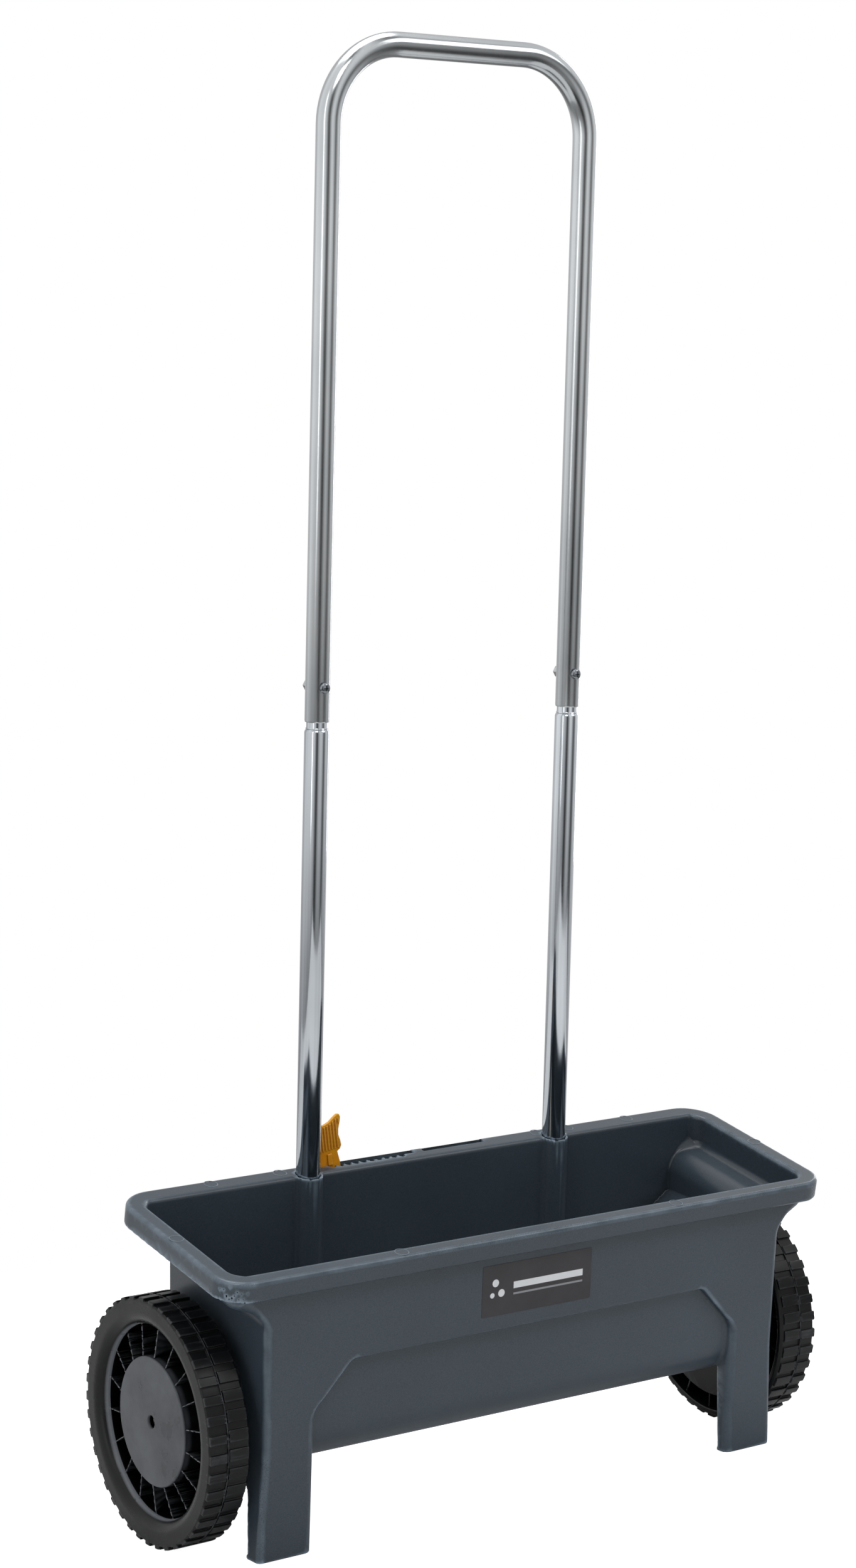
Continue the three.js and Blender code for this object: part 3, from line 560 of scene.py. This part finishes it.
def handle_path():
    """Stations of the upper handle's centre line, with the direction across it in its plane."""
    stations = [(-TUBE_X, SLEEVE_Z, (1, 0)), (-TUBE_X, SLEEVE_Z + 1.2, (1, 0))]
    steps = 20
    for side in (-1, 1):
        for i in range(steps + 1):
            turn = (i if side < 0 else steps - i) / steps * math.pi / 2
            x = side * (TUBE_X - BEND_R + BEND_R * math.cos(turn))
            z = HANDLE_TOP - BEND_R + BEND_R * math.sin(turn)
            stations.append((x, z, (-side * math.cos(turn), -math.sin(turn))))
    return stations + [(TUBE_X, SLEEVE_Z + 1.2, (-1, 0)), (TUBE_X, SLEEVE_Z, (-1, 0))]


def make_handle_upper(sides=64):
    turn = np.arange(sides) * 2 * np.pi / sides
    stations = handle_path()
    rings = []
    for pipe, lip in ((TUBE_R, -0.35), (TUBE_BORE, 0.0)):
        for i, (x, z, (nx, nz)) in enumerate(stations):
            r = pipe + (lip if i in (0, len(stations) - 1) else 0)
            rings.append(np.stack([x + nx * r * np.cos(turn), TUBE_Y + r * np.sin(turn),
                                   z + nz * r * np.cos(turn)], 1))
    count = len(stations)
    loop = list(range(count)) + list(range(2 * count - 1, count - 1, -1))
    quads = []
    j = np.arange(sides)
    for first, second in zip(loop, loop[1:] + loop[:1]):
        quads.append(np.stack([first * sides + j, second * sides + j, second * sides + (j + 1) % sides,
                               first * sides + (j + 1) % sides], 1))
    return sharpened("handle_upper_tube", park(np.concatenate(rings)), np.concatenate(quads))


def make_handle_lower(name, side):
    shoulder = [(TUBE_R - 1.5 * (1 - math.cos(t)), SWAGE_Z - 1 + 6.5 * t / math.pi)
                for t in np.linspace(0, math.pi / 2, 7)]
    shoulder += [(SWAGE_R + 0.7 * (1 - math.sin(t)), SWAGE_Z + 2.25 + 3 * t / math.pi)
                 for t in np.linspace(0, math.pi / 2, 5)]
    foot = SOCKET_FLOOR + 0.3
    profile = [(TUBE_BORE, foot), (TUBE_R - 0.3, foot), (TUBE_R, foot + 0.4)] + shoulder
    profile += [(SWAGE_R, SPIGOT_Z), (SWAGE_R - 1.2, SPIGOT_Z), (SWAGE_R - 1.2, SWAGE_Z),
                (TUBE_BORE, SWAGE_Z - 7)]
    return revolved(name, profile, "z", (side * TUBE_X, TUBE_Y, 0), 64)


# ---------------------------------------------------------------- fasteners
def local_frame(origin, out):
    """Placers for a piece drawn at the origin with its head along +Z."""
    out = Vector(out)
    rotation = np.array(Vector((0, 0, 1)).rotation_difference(out).to_matrix())

    def place(p):
        return park(p @ rotation.T + np.array(origin, float))

    def turn(d):
        return park_directions(d @ rotation.T)

    return place, turn


def screw(name, origin, out, head_r, head_h, shank_r, length):
    """A pan-head screw with a cross recess; origin is under the head."""
    def field(x, y, z):
        r = np.hypot(x, y)
        crown = z - head_h * (1 - 0.42 * (r / head_r) ** 2)
        head = common(common(r - head_r, crown * 0.8, 0.9), -z, 0.25)
        wide, deep, ax, ay = head_r * 0.11, head_r * 0.5, np.abs(x), np.abs(y)
        cross = np.minimum(np.maximum(ax - wide, ay - deep), np.maximum(ay - wide, ax - deep))
        head = np.maximum(head, -np.maximum(cross + np.maximum(head_h - z, 0) * 0.3, head_h * 0.35 - z))
        thread = 0.12 * np.cos((z / 0.9 + np.arctan2(y, x) / (2 * np.pi)) * 2 * np.pi)
        shank = np.maximum(r - shank_r + 0.12 + thread * 0.8, slab(z, -length, 0.4))
        return np.minimum(head, shank)

    place, turn = local_frame(origin, out)
    r = head_r + 1
    return field_mesh(name, field, (-r, -r, -length - 1), (r, r, head_h + 1), 0.22, 0.5, place, turn)


def nut(name, origin, out, across, height, bore):
    def field(x, y, z):
        flat = np.maximum(np.abs(y), np.abs(x) * math.sqrt(0.75) + np.abs(y) / 2) - across / 2
        flat = np.maximum(flat, np.abs(x) * math.sqrt(0.75) - across / 2)
        r = np.hypot(x, y)
        chamfer = r * 0.5 + np.abs(z - height / 2) * 0.87 - across * 0.285 - height * 0.435
        body = np.maximum(common(flat, slab(z, 0, height), 0.3), chamfer)
        return np.maximum(body, bore - r)

    place, turn = local_frame(origin, out)
    r = across * 0.6 + 1
    return field_mesh(name, field, (-r, -r, -1), (r, r, height + 1), 0.25, 0.5, place, turn)


def rounded(r0, r1, h0, h1, edge=0.35):
    """The outline of a ring with its four edges eased."""
    e = min(edge, (r1 - r0) / 2.2, (h1 - h0) / 2.2)
    k = e * 0.3
    return [(r0 + e, h0), (r1 - e, h0), (r1 - k, h0 + k), (r1, h0 + e), (r1, h1 - e), (r1 - k, h1 - k),
            (r1 - e, h1), (r0 + e, h1), (r0 + k, h1 - k), (r0, h1 - e), (r0, h0 + e), (r0 + k, h0 + k)]


# ---------------------------------------------------------------- materials
def srgb(r, g, b):
    return tuple(((v / 255 + 0.055) / 1.055) ** 2.4 if v > 10 else v / 255 / 12.92 for v in (r, g, b)) + (1,)


class Surface:
    """A material built node by node on one Principled shader."""

    def __init__(self, name, **values):
        self.material = bpy.data.materials.new(name)
        self.material.use_nodes = True
        self.nodes, self.links = self.material.node_tree.nodes, self.material.node_tree.links
        self.shader = self.nodes["Principled BSDF"]
        for key, value in values.items():
            self.shader.inputs[key.replace("_", " ")].default_value = value
        self.where = self.nodes.new("ShaderNodeTexCoord").outputs["Object"]

    def feed(self, socket, value):
        if isinstance(value, bpy.types.NodeSocket):
            self.links.new(value, socket)
        else:
            socket.default_value = value

    def stretched(self, x, y, z):
        """Coordinates turned upright with the chassis, then scaled."""
        upright = self.nodes.new("ShaderNodeMapping")
        upright.inputs["Rotation"].default_value = (-LEAN, 0, 0)
        self.links.new(self.where, upright.inputs["Vector"])
        node = self.nodes.new("ShaderNodeMapping")
        node.inputs["Scale"].default_value = (x, y, z)
        self.links.new(upright.outputs["Vector"], node.inputs["Vector"])
        return node.outputs["Vector"]

    def noise(self, scale, detail=3.0, rough=0.55, at=None):
        node = self.nodes.new("ShaderNodeTexNoise")
        node.inputs["Scale"].default_value = scale
        node.inputs["Detail"].default_value = detail
        node.inputs["Roughness"].default_value = rough
        self.links.new(at or self.where, node.inputs["Vector"])
        return node.outputs["Fac"]

    def cells(self, scale):
        node = self.nodes.new("ShaderNodeTexVoronoi")
        node.inputs["Scale"].default_value = scale
        self.links.new(self.where, node.inputs["Vector"])
        return node.outputs["Distance"]

    def ranged(self, value, low, high, to_low=0.0, to_high=1.0):
        node = self.nodes.new("ShaderNodeMapRange")
        for key, number in (("From Min", low), ("From Max", high), ("To Min", to_low), ("To Max", to_high)):
            node.inputs[key].default_value = number
        self.links.new(value, node.inputs["Value"])
        return node.outputs["Result"]

    def math(self, operation, a, b=0.0):
        node = self.nodes.new("ShaderNodeMath")
        node.operation = operation
        self.feed(node.inputs[0], a)
        self.feed(node.inputs[1], b)
        return node.outputs[0]

    def mix(self, factor, a, b):
        node = self.nodes.new("ShaderNodeMix")
        node.data_type = "RGBA"
        self.feed(node.inputs["Factor"], factor)
        self.feed(node.inputs[6], a)
        self.feed(node.inputs[7], b)
        return node.outputs[2]

    def edges(self, low=0.51, high=0.58):
        """One on sharp outer edges, zero on flats and in corners."""
        return self.ranged(self.nodes.new("ShaderNodeNewGeometry").outputs["Pointiness"], low, high)

    # Pointiness mask of concave corners and creases; the materials use it to paint shade there.
    def corners(self, low=0.49, high=0.42):
        return self.ranged(self.nodes.new("ShaderNodeNewGeometry").outputs["Pointiness"], low, high)

    def part_of(self, axis):
        node = self.nodes.new("ShaderNodeSeparateXYZ")
        self.links.new(self.where, node.inputs[0])
        return node.outputs[axis]

    def colour(self, value):
        self.feed(self.shader.inputs["Base Color"], value)

    def roughness(self, value):
        self.feed(self.shader.inputs["Roughness"], value)

    def bump(self, *layers):
        """Layers of (height, distance in metres, strength), coarse first."""
        normal = None
        for height, distance, strength in layers:
            node = self.nodes.new("ShaderNodeBump")
            node.inputs["Distance"].default_value = distance
            node.inputs["Strength"].default_value = strength
            self.links.new(height, node.inputs["Height"])
            if normal:
                self.links.new(normal, node.inputs["Normal"])
            normal = node.outputs["Normal"]
        self.links.new(normal, self.shader.inputs["Normal"])


def hopper_plastic():
    s = Surface("slate plastic", Specular_IOR_Level=0.42)
    broad, fine = s.noise(5.0, 4), s.noise(900, 2)
    base = s.mix(s.ranged(broad, 0.35, 0.65), srgb(50, 60, 69), srgb(57, 68, 78))
    base = s.mix(s.ranged(fine, 0.3, 0.8, 0, 0.25), base, srgb(92, 104, 115))
    # Painted highlight mixed with wear: sharp edges are lightened towards a pale blue-grey, broken up by
    # noise.
    sharp = s.edges(0.508, 0.56)
    wear_and_highlight = s.math("MULTIPLY", sharp, s.ranged(s.noise(60, 5), 0.3, 0.65, 0.35, 1))
    base = s.mix(s.math("MULTIPLY", wear_and_highlight, 0.8), base, srgb(150, 168, 184))
    # Painted shade: concave corners and creases are darkened.
    base = s.mix(s.math("MULTIPLY", s.corners(0.496, 0.44), 0.6), base, srgb(26, 31, 37))
    s.colour(base)
    rough = s.ranged(s.math("ADD", broad, s.math("MULTIPLY", fine, 0.3)), 0.4, 1.0, 0.27, 0.4)
    s.roughness(s.math("SUBTRACT", rough, s.math("MULTIPLY", sharp, 0.08)))
    s.bump((s.noise(14, 2), 0.0006, 0.25), (s.noise(1500, 2, 0.6), 0.0001, 0.3))
    return s.material


def wheel_plastic():
    s = Surface("black plastic", Specular_IOR_Level=0.24)
    y = s.math("SUBTRACT", s.part_of(1), AXLE_AT.y / 1000)
    z = s.math("SUBTRACT", s.part_of(2), AXLE_AT.z / 1000)
    r = s.math("SQRT", s.math("ADD", s.math("MULTIPLY", y, y), s.math("MULTIPLY", z, z)))
    outer = s.ranged(s.math("ABSOLUTE", s.part_of(0)), 0.2935, 0.2965)
    hub = s.math("MULTIPLY", s.ranged(r, 0.0524, 0.0514), outer)
    blotch = s.noise(26, 6, 0.62)
    base = s.mix(s.ranged(s.noise(9, 4), 0.35, 0.65), srgb(8, 9, 10), srgb(15, 16, 18))
    # Painted shade and painted highlight: the ribbed recess between hub and tyre is painted near black, and
    # the rib crests are painted light.
    recess = s.math("MULTIPLY", s.ranged(r, 0.0522, 0.0526), s.ranged(r, 0.0785, 0.0775))
    fall = s.math("MULTIPLY", s.math("SUBTRACT", r, HUB_R / 1000), RIB_SLOPE)
    height = s.math("ADD", s.math("ABSOLUTE", s.part_of(0)), fall)
    crest = s.ranged(height, 0.2984, 0.2989)
    base = s.mix(recess, base, s.mix(crest, srgb(1, 1, 1), srgb(128, 132, 138)))
    disc = s.mix(s.ranged(blotch, 0.32, 0.68), srgb(58, 61, 66), srgb(90, 94, 100))
    base = s.mix(hub, base, disc)
    # Painted highlight mixed with wear: sharp edges are lightened.
    wear_and_highlight = s.math("MULTIPLY", s.edges(0.53, 0.62), s.ranged(s.noise(90, 4), 0.35, 0.65, 0.2, 1))
    base = s.mix(s.math("MULTIPLY", wear_and_highlight, 0.6), base, srgb(104, 109, 114))
    s.colour(base)
    s.roughness(s.ranged(blotch, 0.3, 0.7, 0.24, 0.42))
    s.bump((s.noise(40, 3), 0.0004, 0.25), (s.noise(1300, 2), 0.0001, 0.3))
    return s.material


def amber_plastic():
    s = Surface("amber plastic", Specular_IOR_Level=0.5, Subsurface_Weight=0.06, Subsurface_Scale=0.002)
    base = s.mix(s.ranged(s.noise(30, 4), 0.3, 0.7), srgb(243, 154, 2), srgb(255, 184, 10))
    # Painted shade: concave corners are darkened to a deep orange.
    base = s.mix(s.math("MULTIPLY", s.corners(0.494, 0.44), 0.85), base, srgb(150, 70, 0))
    # Painted highlight mixed with wear: sharp edges are lightened to pale yellow.
    s.colour(s.mix(s.math("MULTIPLY", s.edges(0.51, 0.58), 0.35), base, srgb(255, 214, 110)))
    s.roughness(s.ranged(s.noise(70, 3), 0.3, 0.7, 0.28, 0.42))
    s.bump((s.noise(1200, 2), 0.00008, 0.3))
    return s.material


def metal(name, dark, light, rough, grain=(400, 400, 12), depth=0.00003, blotches=6.0, reflection_bands=None):
    """Bright metal with a grain stretched along one axis, and optional darker lengthwise stripes that are
    painted reflections of dark surroundings.
    """
    s = Surface(name, Metallic=1.0)
    streak = s.noise(1.0, 4, 0.6, s.stretched(*grain))
    broad = s.noise(blotches, 4)
    base = s.mix(s.ranged(broad, 0.35, 0.65), dark, light)
    base = s.mix(s.ranged(streak, 0.35, 0.75, 0, 0.3), base, dark)
    # Painted reflection: darker lengthwise stripes stand in for dark surroundings reflected in the tube.
    if reflection_bands:
        stripes = s.noise(1.0, 2, 0.5, s.stretched(190, 190, 0.6))
        base = s.mix(s.ranged(stripes, 0.47, 0.6, 0, 0.35), base, reflection_bands)
    s.colour(base)
    low, high = rough
    s.roughness(s.ranged(s.math("ADD", s.math("MULTIPLY", broad, 0.6), s.math("MULTIPLY", streak, 0.4)),
                         0.35, 0.65, low, high))
    s.bump((streak, depth, 0.3), (s.noise(700, 2), depth / 2, 0.2))
    return s.material


def zinc_sheet():
    s = Surface("galvanised sheet", Metallic=1.0)
    cell, broad = s.cells(120), s.noise(8, 4)
    s.colour(s.mix(s.ranged(cell, 0.1, 0.7), srgb(176, 181, 184), srgb(206, 209, 211)))
    s.roughness(s.ranged(s.math("ADD", cell, broad), 0.5, 1.2, 0.28, 0.5))
    s.bump((cell, 0.00003, 0.3), (s.noise(600, 3), 0.00002, 0.3))
    return s.material


def plain(name, dark, light, rough, **values):
    """Moulded or rubber piece with soft colour variation and lighter edges, partly wear and partly painted
    highlight.
    """
    s = Surface(name, **values)
    base = s.mix(s.ranged(s.noise(35, 4), 0.3, 0.7), dark, light)
    # Painted highlight mixed with wear: sharp edges are lightened.
    wear_and_highlight = tuple(min(1, v * 1.6 + 0.02) for v in light[:3]) + (1,)
    s.colour(s.mix(s.math("MULTIPLY", s.edges(), 0.3), base, wear_and_highlight))
    s.roughness(s.ranged(s.noise(80, 3), 0.3, 0.7, *rough))
    s.bump((s.noise(900, 3), 0.0001, 0.3))
    return s.material


LABEL_X, LABEL_Z = (-55.0, 55.0), (72.4, 115.5)


def label_film():
    """Dark printed film with a plain bar, a thin line and three dots."""
    s = Surface("label film", Specular_IOR_Level=0.5)
    middle = park([(np.mean(LABEL_X), FRONT_Y, np.mean(LABEL_Z))])[0]
    x = s.math("MULTIPLY", s.math("SUBTRACT", s.part_of(0), middle[0]), 1000)
    z = s.math("MULTIPLY", s.math("SUBTRACT", s.part_of(2), middle[2]), 1000)

    def soft(distance):
        return s.ranged(distance, 0.12, -0.12)

    def inside(x0, x1, z0, z1):
        def past(v, low, high):
            off = s.math("ABSOLUTE", s.math("SUBTRACT", v, (low + high) / 2))
            return s.math("SUBTRACT", off, (high - low) / 2)

        return soft(s.math("MAXIMUM", past(x, x0, x1), past(z, z0, z1)))

    def dot(cx, cz, r):
        dx, dz = s.math("SUBTRACT", x, cx), s.math("SUBTRACT", z, cz)
        far = s.math("SQRT", s.math("ADD", s.math("MULTIPLY", dx, dx), s.math("MULTIPLY", dz, dz)))
        return soft(s.math("SUBTRACT", far, r))

    marks = inside(-24, 46, -1.0, 4.6)
    for mark in (dot(-42, 6, 3.2), dot(-36, -3, 3.2), dot(-45, -4, 2.2)):
        marks = s.math("MAXIMUM", marks, mark)
    film = s.mix(s.ranged(s.noise(22, 5, 0.6), 0.35, 0.7), srgb(34, 32, 36), srgb(46, 43, 48))
    film = s.mix(inside(-24, 46, -6.2, -4.6), film, srgb(140, 143, 148))
    s.colour(s.mix(marks, film, srgb(226, 229, 233)))
    s.roughness(s.ranged(s.noise(40, 4), 0.3, 0.7, 0.3, 0.44))
    s.bump((s.noise(18, 3), 0.0003, 0.3), (s.noise(700, 2), 0.00004, 0.2))
    return s.material


def make_label():
    """A film with rounded corners lying on the front wall."""
    (x0, x1), (z0, z1) = LABEL_X, LABEL_Z
    r = 1.6
    outline = [p for cx, cz, a in ((x1 - r, z1 - r, 0), (x0 + r, z1 - r, 90), (x0 + r, z0 + r, 180),
                                   (x1 - r, z0 + r, 270)) for p in arc(cx, cz, r, a, a + 90, 6)]
    count = len(outline)
    middle = (np.mean(LABEL_X), np.mean(LABEL_Z))
    rings = []
    for inset, proud in ((0, -0.2), (0, 0.16), (0.12, 0.24)):
        for x, z in outline:
            x, z = x - math.copysign(inset, x - middle[0]), z - math.copysign(inset, z - middle[1])
            rings.append((x, front_face(z) - proud, z))
    bm = bmesh.new()
    vertices = [bm.verts.new(p) for p in park(rings)]
    for ring in (0, count):
        for i in range(count):
            j = (i + 1) % count
            corners = (ring + i, ring + j, ring + count + j, ring + count + i)
            bm.faces.new([vertices[c] for c in corners])
    bm.faces.new(vertices[2 * count:])
    bm.faces.new(vertices[:count][::-1])
    bmesh.ops.recalc_face_normals(bm, faces=bm.faces)
    mesh = bpy.data.meshes.new("front_film")
    bm.to_mesh(mesh)
    bm.free()
    return link("front_film", mesh)


# ---------------------------------------------------------------- assembly
SLATE, BLACK, AMBER = hopper_plastic(), wheel_plastic(), amber_plastic()
SATIN_TUBE = metal("satin tube", srgb(186, 190, 193), srgb(206, 209, 211), (0.16, 0.24))
BRIGHT_TUBE = metal("bright tube", srgb(190, 195, 200), srgb(208, 213, 219), (0.09, 0.15),
                    reflection_bands=srgb(128, 133, 139))
BAR = metal("drawn bar", srgb(168, 172, 176), srgb(190, 193, 196), (0.25, 0.4), grain=(12, 400, 400))
ZINC = metal("zinc plate", srgb(184, 188, 190), srgb(214, 216, 216), (0.22, 0.38), grain=(300, 300, 300),
             blotches=90)
CHROME = metal("dark chrome", srgb(118, 122, 127), srgb(152, 157, 162), (0.07, 0.14),
               grain=(300, 300, 300))
SHEET = zinc_sheet()
NYLON = plain("nylon", srgb(214, 211, 200), srgb(228, 225, 215), (0.32, 0.48), Subsurface_Weight=0.08,
              Subsurface_Scale=0.002)
RUBBER = plain("rubber", srgb(22, 22, 23), srgb(32, 32, 33), (0.65, 0.85))
GUIDE = plain("guide plastic", srgb(30, 31, 33), srgb(40, 42, 44), (0.4, 0.6))
LABEL = label_film()
MARK = plain("moulding marks", srgb(78, 90, 100), srgb(104, 117, 128), (0.3, 0.45))


def fit(obj, material, slot, body, *nodes):
    """Gives a piece its finish and its body, and puts it in place of its CAD nodes."""
    obj.data.materials.clear()
    obj.data.materials.append(material)
    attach(obj, body)
    if nodes:
        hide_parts(*nodes)
    return obj


def eased(node, material, width):
    """A CAD piece kept as it is, with its edges bevelled and a better finish."""
    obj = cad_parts[node]
    weld = obj.modifiers.new("weld", "WELD")
    weld.merge_threshold = 1e-6
    bevel = obj.modifiers.new("bevel", "BEVEL")
    bevel.width, bevel.segments, bevel.limit_method = width, 2, "ANGLE"
    bevel.angle_limit = math.radians(35)
    bevel.harden_normals = True
    for spot in obj.material_slots:
        spot.material = material
    return obj


fit(make_hopper(), SLATE, "hopper_plastic", "chassis", "hopper")
fit(make_ejector_marks(), MARK, "hopper_plastic", "chassis")
fit(make_label(), LABEL, "label_film", "chassis", "front_label")
fit(make_handle_upper(), SATIN_TUBE, "tube_aluminium", "chassis", "handle_upper")
fit(make_lever(), AMBER, "lever_plastic", "lever", "dosing_lever")

for word, side, body in (("left", -1, "free_wheel"), ("right", 1, "axle")):
    fit(make_wheel("wheel_moulding_" + word, side), BLACK, "wheel_plastic", body, "wheel_" + word)
    fit(make_handle_lower("handle_lower_tube_" + word, side), BRIGHT_TUBE, "tube_aluminium", "chassis",
        "handle_lower_" + word)
    x = side * TUBE_X
    seat = TUBE_Y - TUBE_R - 0.3
    bolt = screw("handle_bolt_head_" + word, (x, seat, BOLT_Z), (0, -1, 0), 4.6, 3.4, 2.6, 27)
    fit(bolt, CHROME, "fastener_zinc", "chassis", "handle_bolt_" + word)
    seat = TUBE_Y + TUBE_R + 0.3
    hexagon = nut("handle_hex_nut_" + word, (x, seat, BOLT_Z), (0, 1, 0), 9.0, 4.4, 2.65)
    fit(hexagon, ZINC, "fastener_zinc", "chassis", "handle_nut_" + word)
    seat = TUBE_Y + SOCKET_R + 0.3
    held = screw("socket_pan_screw_" + word, (x, seat, SOCKET_SCREW_Z), (0, 1, 0), 4.1, 2.6, 2.1, 9)
    fit(held, ZINC, "fastener_zinc", "chassis", "socket_screw_" + word)
    hub = screw("wheel_pan_screw_" + word, (side * 294.1, 0, 0), (side, 0, 0), 5.2, 3.6, 2.5, 10)
    fit(hub, ZINC, "fastener_zinc", "axle", "wheel_screw_" + word)

    def ring(name, r0, r1, low, high, edge, centre=side):
        h0, h1 = sorted((centre * low, centre * high))
        return revolved(name, rounded(r0, r1, h0, h1, edge), "x")

    fit(ring("wheel_flat_washer_" + word, 2.9, 7.4, 292.3, 293.8, 0.3), ZINC, "fastener_zinc", "axle",
        "wheel_washer_" + word)
    fit(ring("spacer_sleeve_" + word, 5.4, 8, 261.3, 269.7, 0.5), NYLON, "nylon", "axle",
        "axle_spacer_" + word)

axle = revolved("axle_bar", rounded(0.05, 5, -291.7, 291.7, 0.8), "x")
fit(axle, BAR, "axle_steel", "axle", "axle")
pivot = screw("lever_pan_screw", (LEVER_X, 66.6, LEVER_Z), (0, 1, 0), 5.2, 3.2, 2.3, 18)
fit(pivot, ZINC, "fastener_zinc", "chassis", "lever_screw")
washer = revolved("lever_flat_washer", rounded(2.6, 8.5, 64.7, 66.3, 0.3), "y", (LEVER_X, 0, LEVER_Z))
fit(washer, ZINC, "fastener_zinc", "chassis", "lever_washer")

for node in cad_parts:
    if node.startswith("guide_screw"):
        eased(node, ZINC, 0.0002)
    elif node.startswith("axle_bush") or node == "agitator":
        eased(node, NYLON, 0.0004)
    elif node.startswith("axle_seal"):
        eased(node, RUBBER, 0.0004)
    elif node.startswith("shutter_guide"):
        eased(node, GUIDE, 0.0004)
eased("shutter_plate", SHEET, 0.0002)
for node in ("shutter_pin", "drive_pin"):
    eased(node, ZINC, 0.0003)

# ---------------------------------------------------------------- camera
AZIMUTH, ELEVATION, ROLL = math.radians(-34.42), math.radians(5.04), math.radians(-1.03)
TARGET, DISTANCE = Vector((0.0453, 0.1147, 0.5771)), 2.721
SENSOR, FOCAL = 36.0, 72.19
towards = Vector((math.sin(AZIMUTH) * math.cos(ELEVATION), -math.cos(AZIMUTH) * math.cos(ELEVATION),
                  math.sin(ELEVATION)))
across = Vector((0, 0, 1)).cross(towards).normalized()
above = towards.cross(across)
right = across * math.cos(ROLL) + above * math.sin(ROLL)
top = above * math.cos(ROLL) - across * math.sin(ROLL)
lens = bpy.data.cameras.new("camera")
lens.sensor_width, lens.lens = SENSOR, FOCAL
lens.clip_end = 100
camera = bpy.data.objects.new("camera", lens)
bpy.context.scene.collection.objects.link(camera)
turned = Matrix((right, top, towards)).transposed().to_4x4()
camera.matrix_world = Matrix.Translation(TARGET + towards * DISTANCE) @ turned
bpy.context.scene.camera = camera

# ---------------------------------------------------------------- studio
def area_light(name, place, aim, size, power, tint=(1, 1, 1)):
    light = bpy.data.lights.new(name, "AREA")
    light.shape, light.size, light.size_y = "RECTANGLE", size[0], size[1]
    light.energy, light.color = power, tint
    obj = bpy.data.objects.new(name, light)
    obj.location = place
    obj.rotation_euler = (Vector(aim) - Vector(place)).to_track_quat("-Z", "Y").to_euler()
    bpy.context.scene.collection.objects.link(obj)
    return obj


area_light("key", (2.2, -2.4, 3.0), (0, 0, 0.4), (1.6, 1.6), 26)
area_light("front left", (-1.5, -2.3, 3.3), (0, 0, 0.3), (1.2, 1.2), 26)
area_light("strip", (-2.6, -0.9, 1.2), (0, 0, 0.6), (0.25, 2.6), 5)
area_light("rim strip", (2.3, 1.1, 1.2), (0, 0, 0.4), (0.16, 2.4), 9)
area_light("overhead", (0, 0.4, 3.4), (0, 0, 0), (2.0, 2.0), 44)

world = bpy.data.worlds.new("studio")
bpy.context.scene.world = world
world.use_nodes = True
tree = world.node_tree
background = tree.nodes["Background"]
split = tree.nodes.new("ShaderNodeSeparateXYZ")
tree.links.new(tree.nodes.new("ShaderNodeTexCoord").outputs["Generated"], split.inputs[0])
EAST, NORTH, UP = split.outputs


def world_math(operation, a, b=0.0):
    node = tree.nodes.new("ShaderNodeMath")
    node.operation = operation
    for socket, value in zip(node.inputs, (a, b)):
        if isinstance(value, bpy.types.NodeSocket):
            tree.links.new(value, socket)
        else:
            socket.default_value = value
    return node.outputs[0]


# Panels and flags stand round the object: (bearing, strength), 0 degrees at its front left and growing
# towards its right.
ahead = world_math("ADD", world_math("MULTIPLY", EAST, -0.565), world_math("MULTIPLY", NORTH, -0.825))
aside = world_math("ADD", world_math("MULTIPLY", EAST, 0.825), world_math("MULTIPLY", NORTH, -0.565))
bearing = world_math("ARCTAN2", aside, ahead)
PANELS = ((-180, 0.6), (-122, 0.75), (-104, 1.15), (-77, 1.08), (-55, 0.98), (-34, 1.05), (-16, 0.85),
          (-6, 0.45), (4, 0.08), (13, 0.12), (24, 0.6), (34, 1.0), (44, 1.02), (55, 0.85), (66, 0.42),
          (76, 0.14), (88, 0.5), (104, 0.95), (150, 0.85), (180, 0.6))
panels = tree.nodes.new("ShaderNodeValToRGB")
while len(panels.color_ramp.elements) > 1:
    panels.color_ramp.elements.remove(panels.color_ramp.elements[0])
for degrees, strength in PANELS:
    spot = (degrees + 180) / 360
    element = panels.color_ramp.elements.new(spot) if degrees > -180 else panels.color_ramp.elements[0]
    element.position, element.color = spot, (strength, strength, strength, 1)
tree.links.new(world_math("ADD", world_math("DIVIDE", bearing, 2 * math.pi), 0.5), panels.inputs["Fac"])
height = tree.nodes.new("ShaderNodeMapRange")
for key, value in (("From Min", -0.45), ("From Max", -0.08), ("To Min", 0.3), ("To Max", 1.0)):
    height.inputs[key].default_value = value
tree.links.new(UP, height.inputs["Value"])
lit = world_math("MULTIPLY", panels.outputs["Color"], height.outputs["Result"])
path = tree.nodes.new("ShaderNodeLightPath").outputs
dimmed = world_math("SUBTRACT", 1.0, world_math("MULTIPLY", path["Is Diffuse Ray"], 0.5))
lit = world_math("MULTIPLY", lit, dimmed)
tree.links.new(world_math("MAXIMUM", lit, path["Is Camera Ray"]), background.inputs["Strength"])
background.inputs["Color"].default_value = (1, 1, 1, 1)

FLOOR_HALF, FLOOR_DROP = 0.9, 1e-4
corners = [(FLOOR_HALF * x, FLOOR_HALF * y, -FLOOR_DROP) for x, y in ((-1, -1), (1, -1), (1, 1), (-1, 1))]
floor = link("floor", new_mesh("floor", np.array(corners), np.array([[0, 1, 2, 3]])))
paper = Surface("paper floor", Specular_IOR_Level=0.2)
shades = (0.90, 0.90, 0.90, 1), (0.93, 0.93, 0.93, 1)
paper.colour(paper.mix(paper.ranged(paper.noise(2, 3), 0.3, 0.7), *shades))
paper.roughness(paper.ranged(paper.noise(6, 3), 0.3, 0.7, 0.8, 0.9))
glow = paper.nodes.new("ShaderNodeLightPath").outputs["Is Camera Ray"]
paper.shader.inputs["Emission Color"].default_value = (1, 1, 1, 1)
paper.feed(paper.shader.inputs["Emission Strength"], paper.math("MULTIPLY", glow, 0.95))
floor.data.materials.append(paper.material)

bpy.context.scene.view_settings.view_transform = "Standard"
